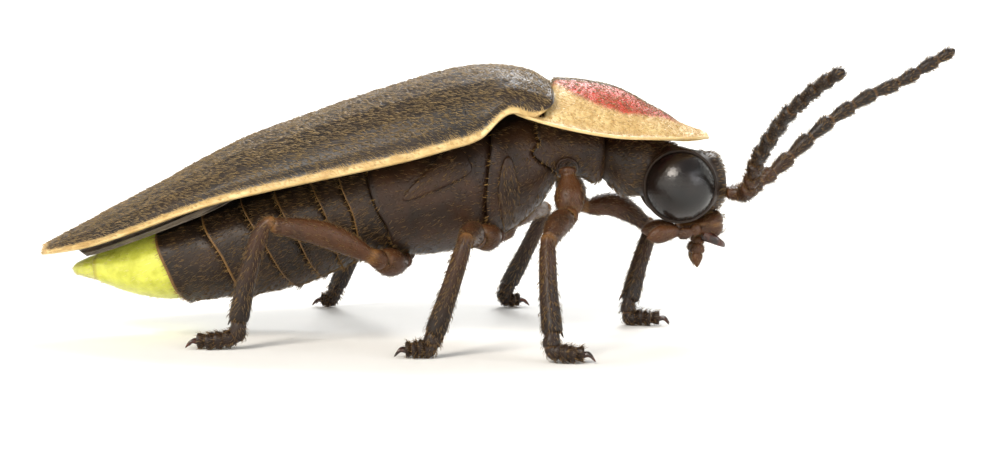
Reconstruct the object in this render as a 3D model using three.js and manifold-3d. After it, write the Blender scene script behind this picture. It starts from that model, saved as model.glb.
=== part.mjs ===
// A firefly at life size, standing on its six feet with its wing cases closed.
// Millimetres. The head points along +X, the back along +Z, and the right side along -Y.
// The floor is z = 0, and the body's plane of symmetry is y = 0.
import * as THREE from 'three';
import { mergeVertices } from 'three/addons/utils/BufferGeometryUtils.js';
import Module from 'manifold-3d';

const wasm = await Module();
wasm.setup();

// Driving dimensions
const GAP = 0.3;
const SHELL = 0.45;
const TAIL_SHELL = 0.24;
const CASE_TAIL = -14.05;
const CASE_FRONT = 1.35;
const SHIELD_TAIL = 0.3;
const SHIELD_FRONT = 6.03;
const SHIELD_THICKNESS = 0.42;
const SHIELD_RIM = 0.24;
const HEAD_REAR = 2.98;
const HEAD_FRONT = 6.6;
const EYE_RADIUS = 1.02;
const EYE_X = 5.1;
const EYE_Z = 4.54;
const EYE_BASE = 1.05;
const EYE_REACH = 1.88;
const TARSOMERES = 5;
const ANTENNOMERES = 11;

// Points closer than this are one point
const SAME_POINT = 1e-4;

// Curve through stations of [place along the body, value], level beyond both ends
function profile(...stations) {
  const last = stations.length - 1;
  const slope = (k) => {
    const before = stations[Math.max(k - 1, 0)];
    const after = stations[Math.min(k + 1, last)];
    return (after[1] - before[1]) / (after[0] - before[0]);
  };
  return (x) => {
    const at = THREE.MathUtils.clamp(x, stations[0][0], stations[last][0]);
    let k = 0;
    while (k < last - 1 && at > stations[k + 1][0]) k += 1;
    const span = stations[k + 1][0] - stations[k][0];
    const t = (at - stations[k][0]) / span;
    const rise = t * t * (3 - 2 * t);
    const leave = t * (1 - t) * (1 - t) * span;
    const arrive = t * t * (t - 1) * span;
    const value = stations[k][1] * (1 - rise) + stations[k + 1][1] * rise;
    return value + leave * slope(k) + arrive * slope(k + 1);
  };
}

// Side view and plan of the closed wing cases: ridge height, margin height and half-width
const caseRidge = profile([-14.05, 2.7], [-12.7, 3.41], [-10.5, 4.57], [-8.1, 5.84],
  [-5.7, 6.74], [-3.3, 7.55], [-1.5, 8.02], [-0.4, 8.12], [0.65, 7.93], [1.35, 7.55]);
const caseMargin = profile([-14.05, 2.46], [-12.4, 2.8], [-10.9, 3.31], [-9.2, 3.93],
  [-7.7, 4.36], [-3.1, 5.36], [-1.7, 5.74], [-0.8, 6.05], [-0.2, 6.6], [0.3, 6.85], [1.35, 6.9]);
const caseHalfWidth = profile([-14.05, 0.5], [-13.7, 1.0], [-12.9, 1.5], [-11.5, 2.15],
  [-9.5, 2.7], [-7, 3.05], [-4, 3.12], [-1, 2.95], [0.4, 2.65], [1.35, 2.3]);
const shellThickness = profile([-14.05, TAIL_SHELL], [-11, 0.4], [-8, SHELL]);

// The neck shield: middle height, margin height and half-width
const shieldRidge = profile([0.3, 7.75], [1.35, 7.73], [2.2, 7.7], [3.2, 7.49], [4.3, 6.92],
  [5.5, 6.28], [6.03, 6.04]);
const shieldMargin = profile([0.3, 6.55], [1.05, 6.42], [1.8, 6.3], [2.7, 6.14], [3.6, 6.05],
  [5.7, 6.02], [6.03, 5.98]);
const shieldHalfWidth = profile([0.3, 2.58], [1.4, 2.72], [3, 2.55], [4.2, 2.12], [5.1, 1.55],
  [5.7, 0.98], [6.03, 0.4]);

// The trunk from the tail to the neck: top, underside and half-width
const trunkTop = profile([-13.14, 2.08], [-13.08, 2.12], [-12.95, 2.16], [-12.7, 2.24], [-12, 2.49],
  [-11, 2.96], [-9.5, 3.68], [-8, 4.32], [-6, 5.02], [-4, 5.66], [-2, 6.25], [-0.5, 6.55],
  [0.4, 6.9], [1, 6.9], [1.8, 6.6], [2.65, 6.5]);
const trunkUnderside = profile([-13.14, 1.91], [-13.08, 1.84], [-12.95, 1.79], [-12.7, 1.74],
  [-12.4, 1.66], [-11.5, 1.31], [-10.6, 1.12], [-9.5, 1.06], [-8.3, 1.17], [-7.3, 1.3], [-6, 1.6],
  [-5, 2.05], [-4, 2.4], [-2, 2.5], [-0.7, 2.85], [0.2, 3.25], [0.9, 3.9], [1.5, 4.7], [2, 4.8],
  [2.65, 4.55]);
const trunkHalfWidth = profile([-13.14, 0.3], [-13.08, 0.45], [-12.95, 0.62], [-12.7, 0.82],
  [-12, 1.18], [-11, 1.6], [-9.5, 2.05], [-8, 2.3], [-6, 2.42], [-3, 2.38], [-1, 2.2], [0.4, 1.9],
  [1.4, 1.6], [2.65, 1.3]);
const TRUNK_ROUNDNESS = 2.3;

// The head: top, underside and half-width
const headTop = profile([2.98, 6.1], [3.6, 6.12], [4.4, 5.92], [5.1, 5.72], [5.9, 5.5],
  [6.3, 5.42], [6.6, 4.95]);
const headUnderside = profile([2.98, 4.6], [3.5, 4.2], [4, 4.2], [4.6, 3.85], [5.2, 3.62],
  [5.9, 3.62], [6.3, 3.8], [6.6, 4.2]);
const headHalfWidth = profile([2.98, 0.95], [3.4, 1.15], [3.9, 1.1], [4.4, 0.9], [6, 0.85],
  [6.3, 0.75], [6.6, 0.4]);

// Natural colours of the hard parts, as light and as shiny as they look
const dark = new THREE.MeshStandardMaterial({ color: 0x2b241f, roughness: 0.45 });
const straw = new THREE.MeshStandardMaterial({ color: 0xc9a45a, roughness: 0.5 });
const brown = new THREE.MeshStandardMaterial({ color: 0x5b3f26, roughness: 0.5 });
const glow = new THREE.MeshStandardMaterial({ color: 0xe5e664, roughness: 0.4 });
const eyeBlack = new THREE.MeshStandardMaterial({ color: 0x120f10, roughness: 0.2 });
const wingSmoke = new THREE.MeshStandardMaterial({ color: 0x4c463f, roughness: 0.35 });

const group = new THREE.Group();

function addNode(name, geometry, material) {
  const mesh = new THREE.Mesh(geometry, material);
  mesh.name = name;
  group.add(mesh);
}

function barePositions(geometry) {
  geometry.deleteAttribute('normal');
  geometry.deleteAttribute('uv');
  return geometry;
}

// A closed blank of rings whose every vertex is put in place by its ring, angle and rim.
// The rim is 1 on the skin and 0 at the middle of an end.
function ringed(sides, spans, place) {
  const blank = barePositions(new THREE.CylinderGeometry(1, 1, 1, sides, spans));
  const positions = blank.attributes.position;
  const point = new THREE.Vector3();
  for (let i = 0; i < positions.count; i += 1) {
    point.fromBufferAttribute(positions, i);
    const ring = Math.round((point.y + 0.5) * spans);
    const rim = Math.round(Math.hypot(point.x, point.z));
    place(ring, Math.atan2(point.x, point.z), rim, point);
    positions.setXYZ(i, point.x, point.y, point.z);
  }
  return mergeVertices(blank, SAME_POINT);
}

// A closed sheet whose every vertex is put in place by its shares along, across and through
function sheet(lengthSpans, widthSpans, place) {
  const blank = barePositions(new THREE.BoxGeometry(1, 1, 1, lengthSpans, widthSpans, 1));
  const positions = blank.attributes.position;
  const point = new THREE.Vector3();
  for (let i = 0; i < positions.count; i += 1) {
    point.fromBufferAttribute(positions, i);
    place(point.x + 0.5, point.y + 0.5, point.z + 0.5, point);
    positions.setXYZ(i, point.x, point.y, point.z);
  }
  return mergeVertices(blank, SAME_POINT);
}

// Shortest edge that a cut or a join may leave
const TOLERANCE = 0.008;

function toSolid(geometry) {
  const mesh = new wasm.Mesh({
    numProp: 3,
    vertProperties: new Float32Array(geometry.attributes.position.array),
    triVerts: new Uint32Array(geometry.index.array),
  });
  return new wasm.Manifold(mesh).setTolerance(TOLERANCE / 2);
}

// The largest closed piece of a solid, as a geometry
function toGeometry(solid) {
  const pieces = solid.setTolerance(TOLERANCE).decompose();
  const largest = pieces.reduce((best, piece) => (piece.volume() > best.volume() ? piece : best));
  const mesh = largest.getMesh();
  const geometry = new THREE.BufferGeometry();
  geometry.setAttribute('position', new THREE.BufferAttribute(mesh.vertProperties, 3));
  geometry.setIndex(new THREE.BufferAttribute(mesh.triVerts, 1));
  return geometry;
}

function joined(...geometries) {
  const solids = geometries.map(toSolid);
  return toGeometry(solids.reduce((whole, piece) => whole.add(piece)));
}

// The same shape on the other side of the plane of symmetry
function mirrored(geometry) {
  const copy = geometry.clone();
  copy.scale(1, -1, 1);
  const index = copy.index;
  for (let i = 0; i < index.count; i += 3) {
    const first = index.getX(i);
    index.setX(i, index.getX(i + 1));
    index.setX(i + 1, first);
  }
  return copy;
}

// Signed power, for sections between an ellipse and a box
function fuller(value, roundness) {
  return Math.sign(value) * Math.abs(value) ** (2 / roundness);
}

// A body of oval sections along X, from its top, underside and half-width curves
function ovalBody(stations, sides, top, underside, halfWidth, roundness) {
  return ringed(sides, stations.length - 1, (ring, angle, rim, point) => {
    const x = stations[ring];
    const middle = (top(x) + underside(x)) / 2;
    const halfHeight = (top(x) - underside(x)) / 2;
    point.x = x;
    point.y = rim * halfWidth(x) * fuller(Math.cos(angle), roundness);
    point.z = middle + rim * halfHeight * fuller(Math.sin(angle), roundness);
  });
}

function evenStations(from, to, count) {
  return Array.from({ length: count + 1 }, (_, i) => from + ((to - from) * i) / count);
}

// A limb of rings along a curve through points. Each ring is [share of the length, half-depth,
// half-width], and the depth lies nearest the leaning direction.
function limb(points, rings, sides, leaning) {
  const curve = new THREE.CatmullRomCurve3(points.map((p) => new THREE.Vector3(...p)));
  const lean = new THREE.Vector3(...leaning);
  return ringed(sides, rings.length - 1, (ring, angle, rim, point) => {
    const [share, depth, width] = rings[ring];
    const along = curve.getTangentAt(share);
    const upward = lean.clone().addScaledVector(along, -lean.dot(along)).normalize();
    const sideways = along.clone().cross(upward);
    point.copy(curve.getPointAt(share));
    point.addScaledVector(upward, rim * depth * Math.cos(angle));
    point.addScaledVector(sideways, rim * width * Math.sin(angle));
  });
}

// Rings for a limb with rounded ends, from [share, half-depth, half-width] stations
function roundedRings(...stations) {
  const first = stations[0];
  const last = stations[stations.length - 1];
  const inset = 0.06;
  const narrowed = 0.55;
  return [
    [0, first[1] * narrowed, first[2] * narrowed],
    [inset, ...first.slice(1)],
    ...stations.slice(1, -1),
    [1 - inset, ...last.slice(1)],
    [1, last[1] * narrowed, last[2] * narrowed],
  ];
}

// The trunk is one oval body, later parted by thin cuts across it
const TRUNK_SIDES = 22;
const TRUNK_SPANS = 28;
const trunkStations = [-13.14, -13.06, -12.85, ...evenStations(-12.5, 2.3, TRUNK_SPANS), 2.55, 2.65];
const trunkBody = toSolid(ovalBody(trunkStations, TRUNK_SIDES, trunkTop, trunkUnderside,
  trunkHalfWidth, TRUNK_ROUNDNESS));

// How far out the trunk's side is at a place of the side view
function trunkSideAt(x, z) {
  const middle = (trunkTop(x) + trunkUnderside(x)) / 2;
  const halfHeight = (trunkTop(x) - trunkUnderside(x)) / 2;
  const level = Math.min(Math.abs(z - middle) / halfHeight, 1) ** TRUNK_ROUNDNESS;
  return trunkHalfWidth(x) * (1 - level) ** (1 / TRUNK_ROUNDNESS);
}

// Flank plates of the thorax, raised on its side. Each runs along an axis in the side view,
// from its lower end up, with a half-width at each share of its length.
const PLATE_RISE = 0.11;
const PLATE_ROOT = 0.2;
const PLATE_SPANS = 8;
const PLATE_WIDTH_SPANS = 4;
const FLANK_PLATES = [
  { axis: [[-3.1, 4.2], [-1.2, 5.5]], halfWidth: profile([0, 0.06], [0.15, 0.17], [0.6, 0.4], [1, 0.5]) },
  { axis: [[0.02, 3.15], [-0.02, 5.5]], halfWidth: profile([0, 0.12], [0.3, 0.26], [0.6, 0.3], [1, 0.12]) },
];

function flankPlate({ axis, halfWidth }) {
  const [from, to] = axis.map((p) => new THREE.Vector2(...p));
  const run = to.clone().sub(from).normalize();
  const across = new THREE.Vector2(-run.y, run.x);
  return sheet(PLATE_SPANS, PLATE_WIDTH_SPANS, (along, share, through, point) => {
    const spot = from.clone().lerp(to, along).addScaledVector(across, (1 - 2 * share) * halfWidth(along));
    const rise = through > 0.5 ? PLATE_RISE : -PLATE_ROOT;
    point.set(spot.x, trunkSideAt(spot.x, spot.y) + rise, spot.y);
  });
}

const flankPlates = FLANK_PLATES.map(flankPlate).flatMap((plate) => [mirrored(plate), plate]);
const trunk = flankPlates.map(toSolid).reduce((whole, plate) => whole.add(plate), trunkBody);

// Cuts between the trunk's segments, from the top down in the side view, tail first
const CUTS = [
  [[-12.35, 3.2], [-12.4, 2.4], [-12.25, 1.2]],
  [[-10.6, 4], [-10.45, 3], [-10, 2], [-9.5, 0.7]],
  [[-9.3, 4.6], [-9, 3.5], [-8.35, 2.5], [-7.6, 0.8]],
  [[-8.3, 5], [-7.9, 4.1], [-7.1, 2.9], [-6.0, 0.9]],
  [[-7.2, 5.6], [-6.9, 4.4], [-6.15, 3.1], [-5.2, 1]],
  [[-6.1, 6], [-5.8, 4.7], [-5.3, 3.7], [-4.75, 1.4]],
  [[-5.1, 6.5], [-4.95, 4.8], [-4.5, 3.7], [-4.2, 1.6]],
  [[-4, 6.8], [-4.05, 4.9], [-3.8, 4], [-3.45, 3.3], [-3.3, 1.6]],
  [[-0.4, 7.4], [-0.55, 5], [-0.6, 4], [-0.45, 2]],
  [[0.75, 7.6], [0.9, 6], [1.3, 5.2], [2, 4]],
];
const SEGMENT_NAMES = ['lantern_rear', 'lantern_front', 'abdomen_6', 'abdomen_5', 'abdomen_4',
  'abdomen_3', 'abdomen_2', 'abdomen_1', 'metathorax', 'mesothorax', 'prothorax'];
const CUT_REACH = 4;
const CUT_SPANS = 6;

// A curved blade as thick as the gap, right through the trunk from side to side
function blade(points) {
  const curve = new THREE.SplineCurve(points.map((p) => new THREE.Vector2(...p)));
  const ahead = [];
  const behind = [];
  for (let i = 0; i <= CUT_SPANS; i += 1) {
    const at = curve.getPointAt(i / CUT_SPANS);
    const run = curve.getTangentAt(i / CUT_SPANS);
    const across = new THREE.Vector2(-run.y, run.x).multiplyScalar(GAP / 2);
    ahead.push(at.clone().add(across));
    behind.unshift(at.clone().sub(across));
  }
  const outline = new THREE.Shape([...ahead, ...behind]);
  const settings = { depth: 2 * CUT_REACH, bevelEnabled: false };
  const geometry = barePositions(new THREE.ExtrudeGeometry(outline, settings));
  geometry.rotateX(Math.PI / 2);
  geometry.translate(0, CUT_REACH, 0);
  return toSolid(mergeVertices(geometry, SAME_POINT));
}

// Legs: the joints of each, from the body outwards, and the half-thickness of each length
const LEGS = [
  {
    name: 'front_right',
    coxa: [[1.72, -1.55, 5.15], [1.78, -1.75, 4.5], [1.8, -1.95, 3.85]],
    coxaRadii: [0.28, 0.42, 0.38],
    femur: [[1.72, -2.5, 3.68], [1.4, -3.7, 3.64], [1.1, -4.76, 3.42]],
    femurRadii: [0.28, 0.38, 0.26],
    tibia: [[1.06, -5.04, 3.08], [1.08, -5.5, 1.9], [1.2, -5.9, 0.84]],
    tibiaRadii: [0.25, 0.26, 0.27],
    tarsus: [[1.16, -6.0, 0.4], [1.5, -6.02, 0.28], [2.05, -6, 0.25]],
  },
  {
    name: 'mid_right',
    coxa: [[-0.3, -0.85, 3.05], [-0.55, -1.35, 3.08], [-0.8, -1.85, 3.05]],
    coxaRadii: [0.36, 0.42, 0.32],
    femur: [[-0.92, -2.2, 3.1], [-1.06, -3.6, 3.35], [-1.15, -4.75, 3.42]],
    femurRadii: [0.26, 0.34, 0.25],
    tibia: [[-1.28, -5.06, 3.1], [-1.66, -5.12, 1.9], [-2.06, -5.1, 0.7]],
    tibiaRadii: [0.24, 0.25, 0.26],
    tarsus: [[-2.24, -5.12, 0.3], [-2.5, -5.12, 0.27], [-2.9, -5.1, 0.25]],
  },
  {
    name: 'hind_right',
    coxa: [[-3.05, -0.85, 2.35], [-3.35, -1.5, 2.3], [-3.68, -2.1, 2.4]],
    coxaRadii: [0.34, 0.38, 0.28],
    femur: [[-3.92, -2.46, 2.56], [-5.3, -3.08, 3.28], [-6.62, -3.35, 3.72]],
    femurRadii: [0.27, 0.36, 0.26],
    tibia: [[-7.04, -3.45, 3.46], [-7.45, -3.48, 2.2], [-7.76, -3.48, 0.84]],
    tibiaRadii: [0.26, 0.29, 0.29],
    tarsus: [[-7.84, -3.46, 0.42], [-8.3, -3.46, 0.28], [-8.96, -3.4, 0.25]],
  },
  {
    name: 'front_left',
    coxa: [[1.72, 1.55, 5.15], [1.85, 1.7, 4.5], [2.05, 1.75, 3.95]],
    coxaRadii: [0.28, 0.42, 0.36],
    femur: [[2.55, 1.87, 3.72], [3.4, 2.1, 3.74], [4.28, 2.35, 3.34]],
    femurRadii: [0.3, 0.42, 0.27],
    tibia: [[4.45, 2.3, 2.9], [4.1, 2.05, 1.8], [3.78, 1.8, 0.86]],
    tibiaRadii: [0.25, 0.27, 0.28],
    tarsus: [[3.8, 1.7, 0.27], [4.2, 1.66, 0.26], [4.75, 1.6, 0.25]],
  },
  {
    name: 'mid_left',
    coxa: [[-0.3, 0.85, 3.05], [-0.25, 1.35, 3.08], [-0.1, 1.85, 3.05]],
    coxaRadii: [0.36, 0.42, 0.32],
    femur: [[0.05, 2.2, 3.12], [0.7, 3.6, 3.5], [1.2, 4.74, 3.55]],
    femurRadii: [0.26, 0.34, 0.25],
    tibia: [[1.2, 5.12, 3.25], [0.62, 5.6, 1.95], [0.07, 6.0, 0.87]],
    tibiaRadii: [0.24, 0.25, 0.26],
    tarsus: [[-0.1, 6.12, 0.38], [0.08, 6.18, 0.28], [0.42, 6.25, 0.25]],
  },
  {
    name: 'hind_left',
    coxa: [[-3.05, 0.85, 2.35], [-3.35, 1.5, 2.3], [-3.6, 2.1, 2.4]],
    coxaRadii: [0.34, 0.38, 0.28],
    femur: [[-3.68, 2.4, 2.55], [-3.98, 3.8, 3.2], [-4.22, 5.02, 3.52]],
    femurRadii: [0.27, 0.36, 0.26],
    tibia: [[-4.42, 5.38, 3.2], [-5.05, 5.8, 2.0], [-5.68, 6.1, 0.75]],
    tibiaRadii: [0.26, 0.29, 0.29],
    tarsus: [[-5.84, 6.16, 0.36], [-5.96, 6.2, 0.28], [-6.2, 6.26, 0.25]],
  },
];
const UPRIGHT = [0, 0, 1];
const FORWARD = [1, 0, 0];
const LEG_SIDES = 8;

function roundLimb(points, radii, leaning) {
  const shares = [0, 0.5, 1];
  const stations = radii.map((radius, i) => [shares[i], radius, radius]);
  return limb(points, roundedRings(...stations), LEG_SIDES, leaning);
}

// The room that a hip needs in the trunk: the hip grown by the gap all round
function hipSpace(points, radii, leaning) {
  const [root, bend, tip] = points.map((p) => new THREE.Vector3(...p));
  const outward = bend.clone().sub(root).normalize();
  const onward = tip.clone().sub(bend).normalize();
  root.addScaledVector(outward, -GAP);
  tip.addScaledVector(onward, GAP);
  const grown = radii.map((radius) => radius + GAP);
  return toSolid(roundLimb([root.toArray(), points[1], tip.toArray()], grown, leaning));
}

// The foot: five short segments, the fourth one broad and lobed, flattened where they stand
const FOOT_SHARES = [0.3, 0.2, 0.16, 0.16, 0.18];
const FOOT_WIDTHS = [0.26, 0.27, 0.28, 0.34, 0.22];
const FOOT_HEIGHTS = [0.29, 0.29, 0.28, 0.27, 0.24];
const RING_START = 0.01;
const RING_BULGE_AT = 0.7;
const BASE_HEIGHT = 0.72;
const BASE_WIDTH = 0.66;
const TIP_RADIUS = 0.12;
const CLAW_RINGS = [[0, 0.09, 0.09], [0.5, 0.08, 0.08], [1, 0.03, 0.03]];
const CLAW_SIDES = 5;

function standOnFloor(geometry) {
  const positions = geometry.attributes.position;
  for (let i = 0; i < positions.count; i += 1) {
    positions.setZ(i, Math.max(positions.getZ(i), 0));
  }
  return geometry;
}

function foot(points) {
  const rings = [];
  let start = 0;
  for (let k = 0; k < TARSOMERES; k += 1) {
    const end = start + FOOT_SHARES[k];
    rings.push([start + RING_START, FOOT_HEIGHTS[k] * BASE_HEIGHT, FOOT_WIDTHS[k] * BASE_WIDTH]);
    rings.push([start + FOOT_SHARES[k] * RING_BULGE_AT, FOOT_HEIGHTS[k], FOOT_WIDTHS[k]]);
    start = end;
  }
  rings.push([1, TIP_RADIUS, TIP_RADIUS]);
  const sole = standOnFloor(limb(points, rings, LEG_SIDES, UPRIGHT));
  const toe = new THREE.Vector3(...points[2]);
  const heading = toe.clone().sub(new THREE.Vector3(...points[1])).setZ(0).normalize();
  const across = new THREE.Vector3(-heading.y, heading.x, 0);
  const claws = [-1, 1].map((turn) => {
    const at = (forward, out, up) => toe.clone().addScaledVector(heading, forward)
      .addScaledVector(across, turn * out).setZ(up).toArray();
    const claw = [at(-0.16, 0.05, 0.22), at(0.08, 0.13, 0.26), at(0.3, 0.2, 0.1)];
    return limb(claw, CLAW_RINGS, CLAW_SIDES, UPRIGHT);
  });
  return joined(sole, ...claws);
}

// Hips first, as the trunk is hollowed round each of them
let hipRoom = null;
for (const leg of LEGS) {
  const leaning = leg.name.startsWith('front') ? FORWARD : UPRIGHT;
  addNode(`${leg.name}_coxa`, roundLimb(leg.coxa, leg.coxaRadii, leaning), brown);
  addNode(`${leg.name}_femur`, roundLimb(leg.femur, leg.femurRadii, UPRIGHT), brown);
  addNode(`${leg.name}_tibia`, roundLimb(leg.tibia, leg.tibiaRadii, FORWARD), brown);
  addNode(`${leg.name}_tarsus`, foot(leg.tarsus), brown);
  const room = hipSpace(leg.coxa, leg.coxaRadii, leaning);
  hipRoom = hipRoom ? hipRoom.add(room) : room;
}

// Trunk segments, tail first: what is left behind each cut, then the rest
function partTrunk() {
  const blades = CUTS.map(blade).reduce((all, next) => all.add(next));
  const pieces = trunk.subtract(blades).decompose();
  const middleOf = (piece) => {
    const box = piece.boundingBox();
    return (box.min[0] + box.max[0]) / 2;
  };
  pieces.sort((a, b) => middleOf(a) - middleOf(b));
  pieces.forEach((piece, i) => {
    const material = SEGMENT_NAMES[i].startsWith('lantern') ? glow : dark;
    addNode(SEGMENT_NAMES[i], toGeometry(piece.subtract(hipRoom)), material);
  });
}
partTrunk();

// Wing cases: an arched shell on each side, from the margin over to the middle line, with
// three faint ribs. Columns and ribs are shares of the arc from the middle line to the margin.
const CASE_SPANS = 22;
const CASE_RIBS = [0.24, 0.44, 0.64];
const RIB_RISE = 0.07;
const RIB_HALF = 0.05;
const RIB_RUN_OUT = 0.1;
const SUTURE_HALF = 0.15;
const caseColumns = [0, 0.12, ...CASE_RIBS.flatMap((rib) => [rib - RIB_HALF, rib, rib + RIB_HALF]),
  0.8, 0.91, 1].reverse();

// Stations closer together at both ends of a case, where it curves most
const END_CROWDING = 0.55;

function caseStation(share) {
  return share - END_CROWDING * Math.sin(2 * Math.PI * share) / (2 * Math.PI);
}

function archPoint(x, arc, inset, point, side) {
  const reach = Math.max(caseHalfWidth(x) - inset - SUTURE_HALF, 0.1);
  const rise = caseRidge(x) - caseMargin(x) - inset;
  point.x = x;
  point.y = side * (SUTURE_HALF + reach * Math.sin(arc));
  point.z = caseMargin(x) + rise * Math.cos(arc);
}

// Front edge of a wing case, rounded off towards its shoulder and drawn in at the middle line
const SHOULDER_ROUNDING = 0.4;
const MIDDLE_INSET = 0.06;

function caseFrontAt(arc) {
  return CASE_FRONT - SHOULDER_ROUNDING * Math.sin(arc) ** 4 - MIDDLE_INSET * Math.cos(arc) ** 2;
}

function wingCase() {
  return sheet(CASE_SPANS, caseColumns.length - 1, (along, across, through, point) => {
    const share = caseColumns[Math.round(across * (caseColumns.length - 1))];
    const arc = share * (Math.PI / 2);
    const x = CASE_TAIL + (caseFrontAt(arc) - CASE_TAIL) * caseStation(along);
    const fade = Math.min(along / RIB_RUN_OUT, (1 - along) / RIB_RUN_OUT, 1);
    const rib = CASE_RIBS.includes(share) ? RIB_RISE * fade : 0;
    archPoint(x, arc, (1 - through) * shellThickness(x) - through * rib, point, -1);
  });
}

// Scutellum: the small shield between the bases of the wing cases
const SCUTELLUM_TAIL = -0.1;
const SCUTELLUM_FRONT = 1.05;
const SCUTELLUM_HALF = 0.5;
const SCUTELLUM_POINT = 0.12;
const SCUTELLUM_DEPTH = 0.12;
const SCUTELLUM_BOW = 0.1;
const SCUTELLUM_SPANS = 4;

// Grown by the gap and lifted, it is the room that the wing cases leave for it
function scutellum(grow, base, lift) {
  return sheet(SCUTELLUM_SPANS, SCUTELLUM_SPANS, (along, across, through, point) => {
    const tail = SCUTELLUM_TAIL - 1.6 * grow;
    const x = tail + (SCUTELLUM_FRONT + grow - tail) * along;
    const side = 2 * across - 1;
    const taper = Math.min(1, SCUTELLUM_POINT + 1.1 * along);
    point.x = x;
    point.y = (SCUTELLUM_HALF + grow) * taper * side;
    point.z = through > 0.5 ? caseRidge(x) - SCUTELLUM_DEPTH - SCUTELLUM_BOW * side ** 2 + lift : base;
  });
}

const caseShell = toSolid(wingCase());
const scutellumRoom = toSolid(scutellum(1.2 * GAP, 6.4, 1));
const rightCase = toGeometry(caseShell.subtract(scutellumRoom));
addNode('elytron_right', rightCase, dark);
addNode('elytron_left', mirrored(rightCase), dark);
addNode('scutellum', scutellum(0, 7.25, 0), straw);

// Folded hindwings: a thin sheet under each case, with its main veins raised as ridges, and
// with its outer edge hanging below the case along the tail
const WING_TAIL = -13.0;
const WING_FRONT = -0.4;
const WING_SPANS = 14;
const WING_VEINS = [0.2, 0.5, 0.8];
const VEIN_RISE = 0.07;
const VEIN_HALF = 0.06;
const wingThickness = profile([WING_TAIL, 0.18], [-11, 0.26], [-8, 0.42]);
const wingDrop = profile([WING_TAIL, 0.12], [-12, 0.12], [-10, 0.05], [-8, 0.05], [-5, 0]);
const wingHang = profile([WING_TAIL, 0.2], [-9, 0.2], [-6.5, 0]);
const wingSweep = profile([WING_TAIL, 1.72], [-11, 1.7], [-9, 1.6], [-7, 1.25], [-2, 1.1], [-0.4, 0.9]);
const wingColumns = [0, ...WING_VEINS.flatMap((vein) => [vein - VEIN_HALF, vein, vein + VEIN_HALF]), 1];

function foldedWing() {
  return sheet(WING_SPANS, wingColumns.length - 1, (along, across, through, point) => {
    const column = Math.round(across * (wingColumns.length - 1));
    const share = wingColumns[column];
    const x = WING_TAIL + (WING_FRONT - WING_TAIL) * along;
    const vein = WING_VEINS.includes(share) && along > 0 && along < 1 ? VEIN_RISE : 0;
    const top = shellThickness(x) + GAP + wingDrop(x);
    const under = top - vein * through + (1 - through) * wingThickness(x);
    const arc = wingSweep(x) * (1 - share);
    archPoint(x, arc, under, point, -1);
    point.z -= wingHang(x) * (1 - share) ** 2;
  });
}

const rightWing = foldedWing();
addNode('hindwing_right', rightWing, wingSmoke);
addNode('hindwing_left', mirrored(rightWing), wingSmoke);

// Neck shield: an arched plate with flat margins, cut clear of the wing cases
const SHIELD_SPANS = 14;
const SHIELD_ARC_SPANS = 12;
const SHIELD_SQUARENESS = 1.3;
const FRONT_CROWDING = 0.9;

function shieldPlate() {
  return sheet(SHIELD_SPANS, SHIELD_ARC_SPANS, (along, across, through, point) => {
    const x = SHIELD_TAIL + (SHIELD_FRONT - SHIELD_TAIL) * along ** FRONT_CROWDING;
    const side = 2 * across - 1;
    const arch = Math.cos((side * Math.PI) / 2) ** SHIELD_SQUARENESS;
    const swelling = (1 - side ** 2) * (1 - along ** 4);
    const thickness = SHIELD_RIM + (SHIELD_THICKNESS - SHIELD_RIM) * swelling;
    point.x = x;
    point.y = side * shieldHalfWidth(x);
    const rise = shieldRidge(x) - shieldMargin(x);
    point.z = shieldMargin(x) + rise * arch - (1 - through) * thickness;
  });
}

// The room that the closed cases need, the gap included, from their shoulders forwards
const ROOM_TAIL = -0.6;
const ROOM_SPANS = 6;
const ROOM_SIDES = 24;
const ROOM_AHEAD = 1.3 * GAP;

function caseRoom() {
  return ringed(ROOM_SIDES, ROOM_SPANS, (ring, angle, rim, point) => {
    const arc = Math.asin(Math.abs(Math.cos(angle)));
    const front = caseFrontAt(rim * arc) + ROOM_AHEAD;
    const x = ROOM_TAIL + ((front - ROOM_TAIL) * ring) / ROOM_SPANS;
    const beside = Math.min(x, CASE_FRONT);
    const rise = caseRidge(beside) - caseMargin(beside) + 2 * GAP;
    point.x = x;
    point.y = rim * (caseHalfWidth(beside) + GAP) * Math.cos(angle);
    point.z = caseMargin(beside) - GAP;
    point.z += rim > 0 ? Math.max(Math.sin(angle), 0) * rise : rise / 2;
  });
}

addNode('pronotum', toGeometry(toSolid(shieldPlate()).subtract(toSolid(caseRoom()))), straw);

// Head: an oval body with a flat on each side for the eye
const HEAD_SIDES = 18;
const HEAD_ROUNDNESS = 2.4;
const headStations = [HEAD_REAR, 3.05, 3.25, ...evenStations(3.6, 6, 6), 6.3, 6.5, HEAD_FRONT];
const headBody = ovalBody(headStations, HEAD_SIDES, headTop, headUnderside, headHalfWidth, HEAD_ROUNDNESS);

// A half-round eye that bulges from its flat base, as the outer half of a ball
const EYE_SIDES = 18;
const EYE_SPANS = 12;

function eye(grow, base, reach) {
  const dome = barePositions(new THREE.SphereGeometry(1, EYE_SIDES, EYE_SPANS));
  dome.scale(EYE_RADIUS + grow, reach - base, EYE_RADIUS + grow);
  dome.translate(EYE_X, base, EYE_Z);
  const slabSize = 4 * EYE_RADIUS;
  const slab = barePositions(new THREE.BoxGeometry(slabSize, slabSize, slabSize));
  slab.translate(EYE_X, base + slabSize / 2, EYE_Z);
  const domeSolid = toSolid(mergeVertices(dome, SAME_POINT));
  return domeSolid.intersect(toSolid(mergeVertices(slab, SAME_POINT)));
}

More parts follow.
